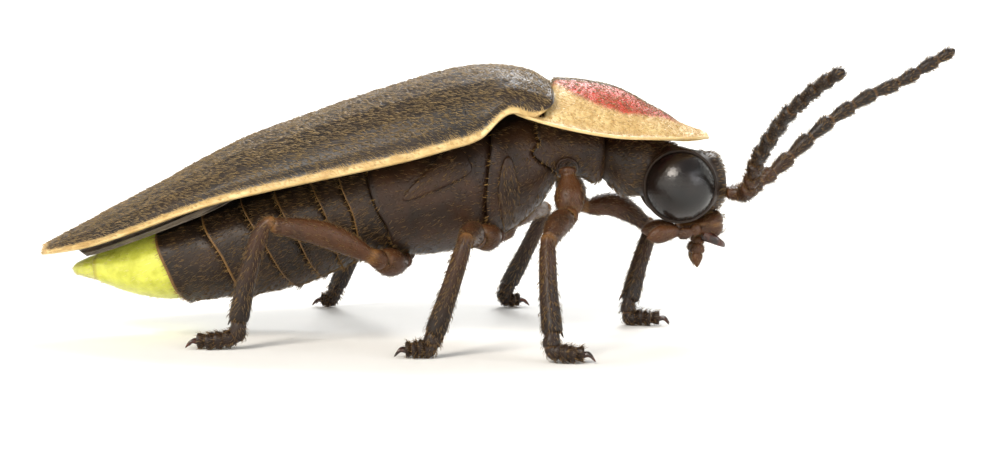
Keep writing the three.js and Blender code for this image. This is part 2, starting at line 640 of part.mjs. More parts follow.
const leftEye = toGeometry(eye(0, EYE_BASE, EYE_REACH));
const eyeRoom = toGeometry(eye(GAP, EYE_BASE - GAP, EYE_REACH + 1));
const headSolid = toSolid(headBody).subtract(toSolid(eyeRoom)).subtract(toSolid(mirrored(eyeRoom)));
addNode('head', toGeometry(headSolid), dark);
addNode('eye_left', leftEye, eyeBlack);
addNode('eye_right', mirrored(leftEye), eyeBlack);

// Clypeus and lip: the wedge below the face
const LIP_REAR = 5.3;
const LIP_FRONT = 6.5;
const lipTop = profile([LIP_REAR, 3.22], [5.85, 3.3], [6.3, 3.48], [LIP_FRONT, 3.42]);
const lipUnderside = profile([LIP_REAR, 3.05], [5.85, 2.98], [6.3, 2.95], [LIP_FRONT, 3.1]);
const lipHalfWidth = profile([LIP_REAR, 0.45], [5.85, 0.58], [6.3, 0.52], [LIP_FRONT, 0.3]);
const LIP_SPANS = 5;
const LIP_SIDES = 12;
const LIP_ROUNDNESS = 2.6;
const lipStations = evenStations(LIP_REAR, LIP_FRONT, LIP_SPANS);
const lip = ovalBody(lipStations, LIP_SIDES, lipTop, lipUnderside, lipHalfWidth, LIP_ROUNDNESS);
addNode('clypeus', lip, brown);

// Feelers: eleven segments, each widest near its far end
const FEELERS = {
  antenna_right: [[7.0, -0.46, 4.28], [7.18, -0.9, 4.5], [7.3, -1.75, 5.35], [7.58, -2.7, 6.1],
    [7.92, -3.5, 6.75], [8.3, -4.15, 7.22], [8.66, -4.72, 7.6], [9.16, -5.4, 8.0]],
  antenna_left: [[6.95, 0.44, 4.26], [7.5, 0.64, 4.44], [8.28, 0.9, 4.98], [9.13, 1.1, 5.76],
    [10.0, 1.3, 6.46], [11.17, 1.6, 7.16], [12.22, 1.8, 7.62], [13.05, 2.0, 8.1], [13.95, 2.2, 8.6]],
};
const ANTENNOMERE_SHARES = [0.11, 0.055, 0.09, 0.1, 0.1, 0.098, 0.095, 0.092, 0.088, 0.084, 0.088];
const FEELER_RADIUS = 0.27;
const FEELER_THINNING = 0.006;
const FEELER_WAIST = 0.68;
const FEELER_BULGE_AT = 0.82;
const FEELER_LEANING = [0, 1, 0.2];

function feeler(points) {
  const rings = [];
  let start = 0;
  for (let k = 0; k < ANTENNOMERES; k += 1) {
    const radius = FEELER_RADIUS - FEELER_THINNING * k;
    const waist = radius * FEELER_WAIST;
    rings.push([start + RING_START / 5, waist, waist]);
    rings.push([start + ANTENNOMERE_SHARES[k] * FEELER_BULGE_AT, radius, radius]);
    start += ANTENNOMERE_SHARES[k];
  }
  rings.push([1, TIP_RADIUS, TIP_RADIUS]);
  return limb(points, rings, LEG_SIDES, FEELER_LEANING);
}
for (const [name, points] of Object.entries(FEELERS)) {
  addNode(name, feeler(points), brown);
}

// Palps: the leaf-shaped jaw palps point back, the lip palps hang
const jawPalpRings = [[0, 0.12, 0.12], [0.1, 0.2, 0.18], [0.3, 0.15, 0.13], [0.42, 0.2, 0.17],
  [0.68, 0.26, 0.2], [0.9, 0.16, 0.13], [1, 0.05, 0.05]];
const jawPalpCurve = [[5.3, -0.85, 3.12], [4.85, -0.94, 3.16], [4.1, -1.2, 3.0]];
const jawPalp = limb(jawPalpCurve, jawPalpRings, LEG_SIDES, UPRIGHT);
addNode('maxillary_palp_right', jawPalp, brown);
addNode('maxillary_palp_left', mirrored(jawPalp), brown);
const lipPalpRings = [[0, 0.12, 0.12], [0.12, 0.2, 0.2], [0.42, 0.2, 0.2], [0.5, 0.14, 0.14],
  [0.62, 0.2, 0.2], [0.8, 0.16, 0.16], [1, 0.05, 0.05]];
const lipPalpCurve = [[5.72, -0.32, 2.68], [5.68, -0.42, 2.4], [5.68, -0.5, 2.05]];
const lipPalp = limb(lipPalpCurve, lipPalpRings, LEG_SIDES, FORWARD);
addNode('labial_palp_right', lipPalp, brown);
addNode('labial_palp_left', mirrored(lipPalp), brown);

export default group;
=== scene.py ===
import bmesh
import bpy
import math
import numpy as np
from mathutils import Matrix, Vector, noise


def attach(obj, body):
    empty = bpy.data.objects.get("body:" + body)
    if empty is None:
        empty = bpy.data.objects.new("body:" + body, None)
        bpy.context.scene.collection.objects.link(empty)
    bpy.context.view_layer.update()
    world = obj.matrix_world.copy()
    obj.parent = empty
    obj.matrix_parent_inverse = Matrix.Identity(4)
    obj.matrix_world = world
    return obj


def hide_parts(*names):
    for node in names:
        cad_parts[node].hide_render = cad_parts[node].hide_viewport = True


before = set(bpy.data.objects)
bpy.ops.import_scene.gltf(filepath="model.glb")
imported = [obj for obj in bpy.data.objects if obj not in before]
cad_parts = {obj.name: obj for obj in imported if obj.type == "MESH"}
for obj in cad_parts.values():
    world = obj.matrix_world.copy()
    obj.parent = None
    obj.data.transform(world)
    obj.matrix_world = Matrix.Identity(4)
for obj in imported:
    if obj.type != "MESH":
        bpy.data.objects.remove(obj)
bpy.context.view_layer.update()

# A firefly at life size. Shapes are worked out in millimetres and put down in metres.
# The head points along +X, the back along +Z, the right side along -Y, and the floor is z = 0.
MM = 0.001
MERGE = 1e-4
TURN = 2 * math.pi

# Driving dimensions
CASE_TAIL = -14.05
CASE_FRONT = 1.35
CASE_SHELL = 0.14
SEAM_HALF = 0.012
SHIELD_TAIL = 0.1
SHIELD_FRONT = 6.03
SHIELD_THICKNESS = 0.17
UNDER_CASE = 0.22
TRUNK_TAIL = -13.16
TRUNK_FRONT = 2.8
TRUNK_ROUNDNESS = 2.3
HEAD_REAR = 2.6
HEAD_FRONT = 6.6
EYE_CENTRE = Vector((5.1, 0.98, 4.54))
EYE_RADIUS = 1.02
EYE_BULGE = 0.9


def curve_through(*stations):
    """The value at any place, on a smooth curve through stations of place and value."""
    places = [place for place, value in stations]
    values = [value for place, value in stations]
    last = len(stations) - 1

    def slope(k):
        low, high = max(k - 1, 0), min(k + 1, last)
        return (values[high] - values[low]) / (places[high] - places[low])

    slopes = [slope(k) for k in range(last + 1)]

    def value_at(place):
        at = min(max(place, places[0]), places[last])
        k = 0
        while k < last - 1 and at > places[k + 1]:
            k += 1
        span = places[k + 1] - places[k]
        t = (at - places[k]) / span
        rise = t * t * (3 - 2 * t)
        value = values[k] * (1 - rise) + values[k + 1] * rise
        value += t * (1 - t) ** 2 * span * slopes[k]
        return value + t * t * (t - 1) * span * slopes[k + 1]

    return value_at


def smooth(low, high, value):
    """0 below low, 1 above high, and a soft step between."""
    t = min(max((value - low) / (high - low), 0.0), 1.0)
    return t * t * (3 - 2 * t)


def mix(first, second, share):
    return first * (1 - share) + second * share


def fuller(value, roundness):
    return math.copysign(abs(value) ** (2 / roundness), value)


def hump(value, middle, width):
    """1 in the middle of a soft, narrow rise, and 0 well to either side of it."""
    return math.exp(-((value - middle) / width) ** 2)


def crowded(u, amount):
    """A share moved towards the nearer end, so that rows crowd at both ends."""
    return u - amount * math.sin(TURN * u) / TURN


def grain(x, y, z, size):
    """Unevenness from -1 to 1 whose lumps are about size across."""
    return noise.noise(Vector((x, y, z)) / size)


# Side view and plan of the closed wing cases: ridge height, margin height and half-width
case_ridge = curve_through((-14.05, 2.7), (-12.7, 3.41), (-10.5, 4.57), (-8.1, 5.84), (-5.7, 6.74),
                           (-3.3, 7.55), (-1.5, 8.02), (-0.4, 8.12), (0.65, 7.93), (1.35, 7.55))
case_margin = curve_through((-14.05, 2.46), (-12.4, 2.8), (-10.9, 3.31), (-9.2, 3.93), (-7.7, 4.36),
                            (-3.1, 5.36), (-1.7, 5.74), (-0.8, 6.05), (-0.2, 6.62), (0.15, 6.77),
                            (0.66, 6.6), (1.05, 6.68), (1.35, 6.86))
case_half_width = curve_through((-14.05, 0.5), (-13.7, 1.0), (-12.9, 1.5), (-11.5, 2.15), (-9.5, 2.7),
                                (-7, 3.05), (-4, 3.12), (-1, 2.95), (0.4, 2.65), (1.35, 2.3))

# The neck shield: middle height, margin height and half-width
shield_ridge = curve_through((0.3, 7.75), (1.35, 7.73), (2.2, 7.7), (3.2, 7.49), (4.3, 6.92), (5.5, 6.28),
                             (6.03, 6.04))
shield_margin = curve_through((0.1, 6.8), (0.5, 6.66), (1.05, 6.5), (1.8, 6.32), (2.7, 6.14), (3.6, 6.05),
                              (5.7, 6.02), (6.03, 5.98))
shield_half_width = curve_through((0.3, 2.58), (1.4, 2.72), (3, 2.55), (4.2, 2.12), (5.1, 1.55),
                                  (5.7, 0.98), (6.03, 0.4))

# The trunk from the tail to the neck: top, underside and half-width
trunk_top = curve_through((-13.16, 2.03), (-13.14, 2.09), (-13.08, 2.15), (-12.95, 2.22), (-12.7, 2.33),
                          (-12, 2.58), (-11, 3.03), (-9.5, 3.71), (-8, 4.32), (-6, 5.02), (-4, 5.66),
                          (-2, 6.25), (-0.5, 6.55), (0.4, 6.9), (1, 6.9), (1.8, 6.6), (2.65, 6.5))
trunk_underside = curve_through((-13.16, 1.98), (-13.14, 1.91), (-13.08, 1.84), (-12.95, 1.79),
                                (-12.7, 1.74), (-12.4, 1.66), (-11.5, 1.31), (-10.6, 1.12), (-9.5, 1.06),
                                (-8.3, 1.17), (-7.3, 1.3), (-6, 1.6), (-5, 2.05), (-4, 2.4), (-2, 2.5),
                                (-0.7, 2.85), (0.2, 3.25), (0.9, 3.9), (1.5, 4.7), (2, 4.8), (2.65, 4.55))
trunk_half_width = curve_through((-13.16, 0.1), (-13.14, 0.3), (-13.08, 0.45), (-12.95, 0.62),
                                 (-12.7, 0.82), (-12, 1.18), (-11, 1.6), (-9.5, 2.05), (-8, 2.3),
                                 (-6, 2.42), (-3, 2.38), (-1, 2.2), (0.4, 1.9), (1.4, 1.6), (2.65, 1.3))

# The head: top, underside and half-width
head_top = curve_through((2.6, 5.9), (2.98, 6.05), (3.6, 6.12), (4.4, 5.92), (5.1, 5.72), (5.9, 5.5),
                         (6.3, 5.42), (6.6, 4.95))
head_underside = curve_through((2.6, 4.9), (2.98, 4.6), (3.5, 4.2), (4, 4.2), (4.6, 3.85), (5.2, 3.62),
                               (5.9, 3.62), (6.3, 3.8), (6.6, 4.2))
head_half_width = curve_through((2.6, 0.8), (2.98, 0.95), (3.4, 1.15), (3.9, 1.1), (4.4, 0.92), (6, 0.85),
                                (6.3, 0.75), (6.6, 0.4))


# Finishes

def colour(code):
    """An sRGB hex colour as the linear one that a shader takes."""
    parts = [int(code[i:i + 2], 16) / 255 for i in (1, 3, 5)]
    linear = [c / 12.92 if c <= 0.04045 else ((c + 0.055) / 1.055) ** 2.4 for c in parts]
    return (*linear, 1.0)


def per_metre(size_mm):
    """A pattern scale for features that are size_mm across."""
    return 1 / (size_mm * MM)


class Finish:
    """A material under way. add() puts in a node with its settings and its links or values."""

    def __init__(self, name):
        self.material = bpy.data.materials.new(name)
        self.material.use_nodes = True
        self.tree = self.material.node_tree
        self.shader = self.tree.nodes["Principled BSDF"]

    def add(self, kind, inputs=None, out=0, stops=None, **settings):
        node = self.tree.nodes.new("ShaderNode" + kind)
        for key, value in settings.items():
            setattr(node, key, value)
        self.fill(node, inputs or {})
        if stops:
            for element, (place, code) in zip(node.color_ramp.elements, stops):
                element.position = place
                element.color = colour(code)
        return node.outputs[out]

    def fill(self, node, inputs):
        for key, value in inputs.items():
            if isinstance(value, bpy.types.NodeSocket):
                self.tree.links.new(value, node.inputs[key])
            else:
                node.inputs[key].default_value = value

    def surface(self, **values):
        """The shader's own sockets, named with underlines for spaces."""
        self.fill(self.shader, {key.replace("_", " "): value for key, value in values.items()})


# Settings of a node that blends two colours (its colour sockets are 6 and 7), of a soft step, and
# of a node that reads a mark of the skin
BLEND = {"data_type": "RGBA", "out": 2}
STEP = {"interpolation_type": "SMOOTHSTEP"}
MARK = {"out": "Fac"}


def cuticle_relief(finish, place, pit_mm, pit_depth, grain_mm, grain_depth):
    """The pitted, faintly wrinkled skin of a beetle: round pits over a finer grain."""
    pits = finish.add("TexVoronoi", {"Vector": place, "Scale": per_metre(pit_mm)})
    dimples = finish.add("MapRange", {"Value": pits, "From Min": 0.05, "From Max": 0.42}, **STEP)
    coarse = finish.add("Bump", {"Height": dimples, "Distance": pit_depth * MM, "Strength": 1.0})
    lumps = finish.add("TexNoise", {"Vector": place, "Scale": per_metre(grain_mm), "Detail": 5.0})
    return finish.add("Bump", {"Height": lumps, "Distance": grain_depth * MM, "Strength": 1.0,
                               "Normal": coarse})


def case_cuticle():
    # Leathery wing-case cuticle: near-black brown with a satin shine and fine pits, worn a
    # little browner in soft patches, with a straw-yellow band along the outer edge and a
    # thinner one along the seam down the back
    finish = Finish("leathery wing-case cuticle")
    place = finish.add("TexCoord", out="Object")
    clouds = finish.add("TexNoise", {"Vector": place, "Scale": per_metre(2.2), "Detail": 4.0})
    ground = finish.add("ValToRGB", {"Fac": clouds}, stops=((0.35, "#120d0a"), (0.7, "#2a1d13")))
    ragged = finish.add("TexNoise", {"Vector": place, "Scale": per_metre(0.5), "Detail": 3.0})
    straw = finish.add("ValToRGB", {"Fac": ragged}, stops=((0.3, "#b5945a"), (0.7, "#d8bf88")))
    wander = finish.add("MapRange", {"Value": ragged, "To Min": -0.11, "To Max": 0.11})
    rim = finish.add("Math", {0: finish.add("Attribute", attribute_name="rim", **MARK), 1: wander})
    seam = finish.add("Math", {0: finish.add("Attribute", attribute_name="seam", **MARK), 1: wander})
    inland = finish.add("MapRange", {"Value": rim, "From Min": 0.2, "From Max": 0.34}, **STEP)
    aside = finish.add("MapRange", {"Value": seam, "From Min": 0.05, "From Max": 0.13}, **STEP)
    edged = finish.add("Mix", {"Factor": inland, 6: straw, 7: ground}, **BLEND)
    both = finish.add("Mix", {"Factor": aside, 6: straw, 7: edged}, **BLEND)
    finish.surface(Base_Color=both, Roughness=0.42, IOR=1.5, Specular_IOR_Level=0.4,
                   Normal=cuticle_relief(finish, place, 0.1, 0.006, 0.05, 0.006))
    return finish.material


def shield_cuticle():
    # Neck-shield cuticle: straw-yellow and faintly see-through, with a rose-red middle and a
    # dark bar down the centre line
    finish = Finish("neck-shield cuticle")
    place = finish.add("TexCoord", out="Object")
    clouds = finish.add("TexNoise", {"Vector": place, "Scale": per_metre(0.7), "Detail": 4.0})
    wander = finish.add("MapRange", {"Value": clouds, "To Min": -0.25, "To Max": 0.25})
    straw = finish.add("ValToRGB", {"Fac": clouds}, stops=((0.25, "#b5935a"), (0.75, "#dac48f")))
    disc = finish.add("Math", {0: finish.add("Attribute", attribute_name="disc", **MARK), 1: wander})
    middle = finish.add("MapRange", {"Value": disc, "From Min": 0.3, "From Max": 0.62}, **STEP)
    rosy = finish.add("Mix", {"Factor": middle, 6: straw, 7: colour("#b23a24")}, **BLEND)
    stripe = finish.add("Math", {0: finish.add("Attribute", attribute_name="bar", **MARK), 1: wander})
    bar = finish.add("MapRange", {"Value": stripe, "From Min": 0.45, "From Max": 0.68}, **STEP)
    skin = finish.add("Mix", {"Factor": bar, 6: rosy, 7: colour("#17100d")}, **BLEND)
    finish.surface(Base_Color=skin, Roughness=0.42, IOR=1.5, Subsurface_Weight=0.12,
                   Subsurface_Scale=0.0003, Subsurface_Radius=(1.0, 0.6, 0.25),
                   Normal=cuticle_relief(finish, place, 0.12, 0.012, 0.06, 0.01))
    return finish.material


def body_cuticle(name, ground_stops, edge_code):
    # Body cuticle: hard brown plates with a satin shine, and a hem in a tone of its own along
    # the hind edge of each
    finish = Finish(name)
    place = finish.add("TexCoord", out="Object")
    clouds = finish.add("TexNoise", {"Vector": place, "Scale": per_metre(0.9), "Detail": 4.0})
    ground = finish.add("ValToRGB", {"Fac": clouds}, stops=ground_stops)
    edge = finish.add("Attribute", attribute_name="edge", **MARK)
    hem = finish.add("MapRange", {"Value": edge, "From Min": 0.55, "From Max": 0.95}, **STEP)
    skin = finish.add("Mix", {"Factor": hem, 6: ground, 7: colour(edge_code)}, **BLEND)
    finish.surface(Base_Color=skin, Roughness=0.42, IOR=1.5, Specular_IOR_Level=0.3,
                   Normal=cuticle_relief(finish, place, 0.11, 0.01, 0.05, 0.008))
    return finish.material


def lantern_cuticle():
    # Lantern cuticle: clear skin over a white, granular reflector, pale yellow-green, with a
    # faint painted glow that is brightest away from the plates' edges
    finish = Finish("lantern cuticle")
    place = finish.add("TexCoord", out="Object")
    grains = finish.add("TexNoise", {"Vector": place, "Scale": per_metre(0.35), "Detail": 5.0})
    light = finish.add("ValToRGB", {"Fac": grains}, stops=((0.3, "#a9ab31"), (0.75, "#cfd158")))
    edge = finish.add("Attribute", attribute_name="edge", **MARK)
    hem = finish.add("MapRange", {"Value": edge, "From Min": 0.45, "From Max": 1.0}, **STEP)
    skin = finish.add("Mix", {"Factor": hem, 6: light, 7: colour("#a29a34")}, **BLEND)
    # Painted glow: emission, strongest away from the plates' edges and patchy with the grains
    glow = finish.add("MapRange", {"Value": hem, "To Min": 0.2, "To Max": 0.03})
    patchy = finish.add("MapRange", {"Value": grains, "From Min": 0.2, "From Max": 0.7, "To Min": 0.7})
    finish.surface(Base_Color=skin, Roughness=0.34, IOR=1.5, Emission_Color=light,
                   Emission_Strength=finish.add("Math", {0: glow, 1: patchy}, operation="MULTIPLY"),
                   Subsurface_Weight=0.3, Subsurface_Scale=0.0004, Subsurface_Radius=(1.0, 0.9, 0.4),
                   Normal=cuticle_relief(finish, place, 0.12, 0.01, 0.05, 0.008))
    return finish.material


def limb_cuticle():
    # Limb cuticle: thin brown tubes, darker to the tip, with a paler ring at each joint
    finish = Finish("limb cuticle")
    place = finish.add("TexCoord", out="Object")
    clouds = finish.add("TexNoise", {"Vector": place, "Scale": per_metre(0.6), "Detail": 4.0})
    dark = finish.add("Attribute", attribute_name="dark", **MARK)
    ground = finish.add("ValToRGB", {"Fac": dark}, stops=((0.1, "#55331a"), (0.8, "#1c120b")))
    patches = finish.add("MapRange", {"Value": clouds, "From Min": 0.45, "From Max": 0.8, "To Max": 0.8},
                         **STEP)
    uneven = finish.add("Mix", {"Factor": patches, 6: ground, 7: colour("#170f0a")}, **BLEND)
    joint = finish.add("Attribute", attribute_name="joint", **MARK)
    skin = finish.add("Mix", {"Factor": joint, 6: uneven, 7: colour("#74502a")}, **BLEND)
    finish.surface(Base_Color=skin, Roughness=0.4, IOR=1.5, Specular_IOR_Level=0.3,
                   Normal=cuticle_relief(finish, place, 0.09, 0.008, 0.04, 0.008))
    return finish.material


def horn():
    # Horny cuticle of jaws, spurs and claws: smooth, glossy, reddish-black
    finish = Finish("horny cuticle")
    place = finish.add("TexCoord", out="Object")
    clouds = finish.add("TexNoise", {"Vector": place, "Scale": per_metre(0.3), "Detail": 3.0})
    skin = finish.add("ValToRGB", {"Fac": clouds}, stops=((0.4, "#1b0f0a"), (0.75, "#54250f")))
    finish.surface(Base_Color=skin, Roughness=0.22, IOR=1.56)
    return finish.material


def eye_lens():
    # Compound-eye lenses: glassy black facets with a deep brown bloom
    finish = Finish("compound-eye lens")
    place = finish.add("TexCoord", out="Object")
    clouds = finish.add("TexNoise", {"Vector": place, "Scale": per_metre(0.9), "Detail": 2.0})
    skin = finish.add("ValToRGB", {"Fac": clouds}, stops=((0.35, "#070606"), (0.75, "#1e1511")))
    finish.surface(Base_Color=skin, Roughness=0.26, IOR=1.5)
    return finish.material


def soft_skin():
    # Joint skin between the plates: matt, brown and finely creased, with painted shade
    # that darkens the hollows of the creases
    finish = Finish("joint skin")
    place = finish.add("TexCoord", out="Object")
    creases = finish.add("TexNoise", {"Vector": place, "Scale": per_metre(0.12), "Detail": 4.0})
    skin = finish.add("ValToRGB", {"Fac": creases}, stops=((0.3, "#20150d"), (0.8, "#4b341f")))
    ridges = finish.add("Bump", {"Height": creases, "Distance": 0.02 * MM, "Strength": 1.0})
    finish.surface(Base_Color=skin, Roughness=0.6, IOR=1.45, Subsurface_Weight=0.1, Subsurface_Scale=0.0002,
                   Normal=ridges)
    return finish.material


def wing_membrane():
    # Folded wing membrane: smoky, thin and faintly glossy, with dark brown veins, and
    # painted shade that darkens the film in the hollows of its folds
    finish = Finish("wing membrane")
    place = finish.add("TexCoord", out="Object")
    folds = finish.add("TexNoise", {"Vector": place, "Scale": per_metre(0.5), "Detail": 5.0})
    film = finish.add("ValToRGB", {"Fac": folds}, stops=((0.3, "#3a332c"), (0.75, "#6a5e4e")))
    vein = finish.add("Attribute", attribute_name="vein", **MARK)
    skin = finish.add("Mix", {"Factor": vein, 6: film, 7: colour("#2a1d13")}, **BLEND)
    creases = finish.add("Bump", {"Height": folds, "Distance": 0.05 * MM, "Strength": 1.0})
    finish.surface(Base_Color=skin, Roughness=0.34, IOR=1.5, Normal=creases)
    return finish.material


def down(name, stops):
    # Short body hairs: fine and silky, each in one tone between the darkest and the palest
    finish = Finish(name)
    tone = finish.add("Attribute", attribute_name="tone", **MARK)
    finish.surface(Base_Color=finish.add("ValToRGB", {"Fac": tone}, stops=stops), Roughness=0.45, IOR=1.5)
    return finish.material


CASE = case_cuticle()
SHIELD = shield_cuticle()
BODY = body_cuticle("abdomen cuticle", ((0.3, "#19110b"), (0.75, "#302115")), "#6e5029")
THORAX = body_cuticle("thorax cuticle", ((0.3, "#1d130c"), (0.75, "#3b2413")), "#23160d")
HEAD = body_cuticle("head cuticle", ((0.3, "#1a120c"), (0.75, "#332214")), "#6b4a28")
LANTERN = lantern_cuticle()
LIMB = limb_cuticle()
HORN = horn()
LENS = eye_lens()
SKIN = soft_skin()
MEMBRANE = wing_membrane()
CASE_DOWN = down("wing-case down", ((0.0, "#2c2218"), (1.0, "#d2b073")))
BODY_DOWN = down("body down", ((0.0, "#2c1e12"), (1.0, "#b08a4e")))
PALE_DOWN = down("lantern down", ((0.0, "#c9c077"), (1.0, "#efe9b4")))


# Making a piece

SKIN_MARKS = ("wrap_u", "wrap_v")


def woven(rows, columns, place, marks=()):
    """A closed skin from a grid, each vertex put in place by its two shares. place gives the
    point, then a value for each mark. The shares are kept, as the skin's own unwrap."""
    bm = bmesh.new()
    bmesh.ops.create_grid(bm, x_segments=rows, y_segments=columns, size=0.5)
    layers = [bm.verts.layers.float.new(name) for name in (*SKIN_MARKS, *marks)]
    for vert in bm.verts:
        u, v = vert.co.x + 0.5, vert.co.y + 0.5
        point, *values = place(u, v)
        for layer, value in zip(layers, (u, v, *values)):
            vert[layer] = value
        vert.co = point
    bmesh.ops.remove_doubles(bm, verts=bm.verts, dist=MERGE)
    bmesh.ops.dissolve_degenerate(bm, dist=MERGE, edges=bm.edges)
    bmesh.ops.holes_fill(bm, edges=[edge for edge in bm.edges if edge.is_boundary])
    bmesh.ops.recalc_face_normals(bm, faces=bm.faces)
    return bm


def shown(mesh, name, material):
    """The mesh as an object of the scene, smooth and in its material."""
    mesh.polygons.foreach_set("use_smooth", [True] * len(mesh.polygons))
    mesh.materials.append(material)
    made = bpy.data.objects.new(name, mesh)
    bpy.context.scene.collection.objects.link(made)
    return made


def piece(mesh, name, material, slot, *nodes):
    """The mesh as a piece of the firefly, in place of the named solids."""
    made = shown(mesh, name, material)
    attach(made, "root")
    if nodes:
        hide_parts(*nodes)
    return made


def finished(bm, name, material, slot, *nodes):
    """The bmesh in millimetres as a piece in metres."""
    bmesh.ops.scale(bm, vec=(MM, MM, MM), verts=bm.verts)
    mesh = bpy.data.meshes.new(name)
    bm.to_mesh(mesh)
    bm.free()
    return piece(mesh, name, material, slot, *nodes)


def turned_over(bm):
    """The same shape on the other side of the plane of symmetry."""
    copy = bm.copy()
    bmesh.ops.scale(copy, vec=(1, -1, 1), verts=copy.verts)
    bmesh.ops.recalc_face_normals(copy, faces=copy.faces)
    return copy


def both_sides(bm, name, material, slot, *nodes):
    """A right piece, and its mirrored left one."""
    left = turned_over(bm)
    right = finished(bm, name + "_right", material, slot, *[node + "_right" for node in nodes])
    return right, finished(left, name + "_left", material, slot, *[node + "_left" for node in nodes])


def joined(*parts):
    """Several bmeshes as one. The marks of the first are kept."""
    whole = parts[0]
    for part in parts[1:]:
        mesh = bpy.data.meshes.new("part")
        part.to_mesh(mesh)
        whole.from_mesh(mesh)
        bpy.data.meshes.remove(mesh)
        part.free()
    return whole


# Wing cases: arched shells with a rolled outer edge, three faint ribs and a bead along the seam
CASE_ROWS = 150
CASE_RIBS = (0.24, 0.44, 0.64)
RIB_RISE = 0.022
RIB_WIDTH = 0.035
BEAD_RISE = 0.03
BEAD_WIDTH = 0.02
EDGE_ROLL = 0.05
CASE_WAVES = 0.02
CORNER_CUT = 0.65
FRONT_BOW = 0.06
CASE_ENDS = 0.012


def case_front_at(share):
    """The front edge of a case, which is cut back in a round corner at its margin."""
    return CASE_FRONT - CORNER_CUT * share ** 12 - FRONT_BOW * math.cos(share * math.pi / 2) ** 2


def end_swell(u, part):
    """1 along the middle of a shell, running down to 0 in a round edge at both ends."""
    near = min(u, 1 - u) / part
    return math.sqrt(1 - (1 - min(near, 1.0)) ** 2)


def shell_loop(start, outer_steps, inner_steps, far_steps, near_steps):
    """Round the section of a shell: shares across it, from start to 1 and back on the inside,
    and of its thickness."""
    across = 1 - start
    outside = [(start + across * k / outer_steps, 0.0) for k in range(outer_steps + 1)]
    far_edge = [(1.0, 0.5 - 0.5 * math.cos(k * math.pi / far_steps)) for k in range(1, far_steps)]
    inside = [(1 - across * k / inner_steps, 1.0) for k in range(inner_steps + 1)]
    near_edge = [(start, 0.5 + 0.5 * math.cos(k * math.pi / near_steps)) for k in range(1, near_steps)]
    return outside + far_edge + inside + near_edge + outside[:1]


CASE_ARC_STEPS = 40
CASE_LOOP = shell_loop(0.0, CASE_ARC_STEPS, 20, 6, 4)


def wing_case():
    spans = len(CASE_LOOP) - 1

    def place(u, v):
        share, depth = CASE_LOOP[round(v * spans)]
        arc = share * math.pi / 2
        x = CASE_TAIL + (case_front_at(share) - CASE_TAIL) * crowded(u, 0.55)
        along = smooth(0, 0.12, u) * smooth(0, 0.1, 1 - u)
        relief = sum(RIB_RISE * hump(share, rib, RIB_WIDTH) for rib in CASE_RIBS) * along
        relief += BEAD_RISE * hump(share, BEAD_WIDTH, BEAD_WIDTH) * along
        relief += EDGE_ROLL * smooth(0.93, 0.99, share) * along
        relief -= EDGE_ROLL * hump(share, 0.9, 0.04) * along
        relief += CASE_WAVES * grain(x, share * 3, 0, 1.4)
        shell = CASE_SHELL * (1 + 0.5 * smooth(0.85, 1, share))
        inset = (1 - end_swell(u, CASE_ENDS)) * shell / 2 + depth * shell * end_swell(u, CASE_ENDS)
        inset -= relief * (1 - depth)
        reach = max(case_half_width(x) - inset - SEAM_HALF, 0.02)
        rise = case_ridge(x) - case_margin(x) - inset
        y = -(SEAM_HALF + reach * math.sin(arc))
        z = case_margin(x) + rise * math.cos(arc)
        if share == 1.0:
            z -= 0.04 * math.sin(depth * math.pi)
        girth = 0.5 * math.pi * math.sqrt((case_half_width(x) ** 2 + rise ** 2) / 2)
        tip = 1.2 * (x - CASE_TAIL)
        return Vector((x, y, z)), min((1 - share) * girth, tip), share * girth

    return woven(CASE_ROWS, spans, place, ("rim", "seam"))


case_skins = both_sides(wing_case(), "wing_case", CASE, "wing_case", "elytron")

# Scutellum: the small blunt triangle between the bases of the cases
SCUTELLUM_TAIL = -0.3
SCUTELLUM_FRONT = 1.3
SCUTELLUM_HALF = 0.52


def scutellum():
    def place(u, v):
        x = SCUTELLUM_TAIL + (SCUTELLUM_FRONT - SCUTELLUM_TAIL) * u
        side = math.cos(v * TURN)
        swell = math.sin(v * TURN)
        half = SCUTELLUM_HALF * min(1, (u * 1.35) ** 0.7) * end_swell(u, 0.14)
        y = half * side
        drop = 0.14 * (side * half / SCUTELLUM_HALF) ** 2
        z = case_ridge(x) - 0.06 - drop + 0.1 * max(swell, -1) * end_swell(u, 0.3)
        return Vector((x, y, z)), smooth(0.4, 0.9, abs(side)), 0.0

    return woven(30, 32, place, ("disc", "bar"))


finished(scutellum(), "scutellum_shield", SHIELD, "shield", "scutellum")

# Folded hindwings: a creased film under each case, with raised veins
WING_TAIL = -13.0
WING_FRONT = -0.4
WING_HANG = 0.24
WING_DEPTH = 0.34
WING_SINK = 0.24
FILM_HALF = 0.04
WING_VEINS = (0.1, 0.24, 0.38, 0.52, 0.66, 0.8, 0.93)
VEIN_WIDTH = 0.012
VEIN_RISE = 0.05
CREASE_TURNS = 46
CREASE_DEPTH = 0.05
wing_sweep = curve_through((WING_TAIL, 1.72), (-11, 1.7), (-9, 1.6), (-7, 1.25), (-2, 1.1), (-0.4, 0.9))


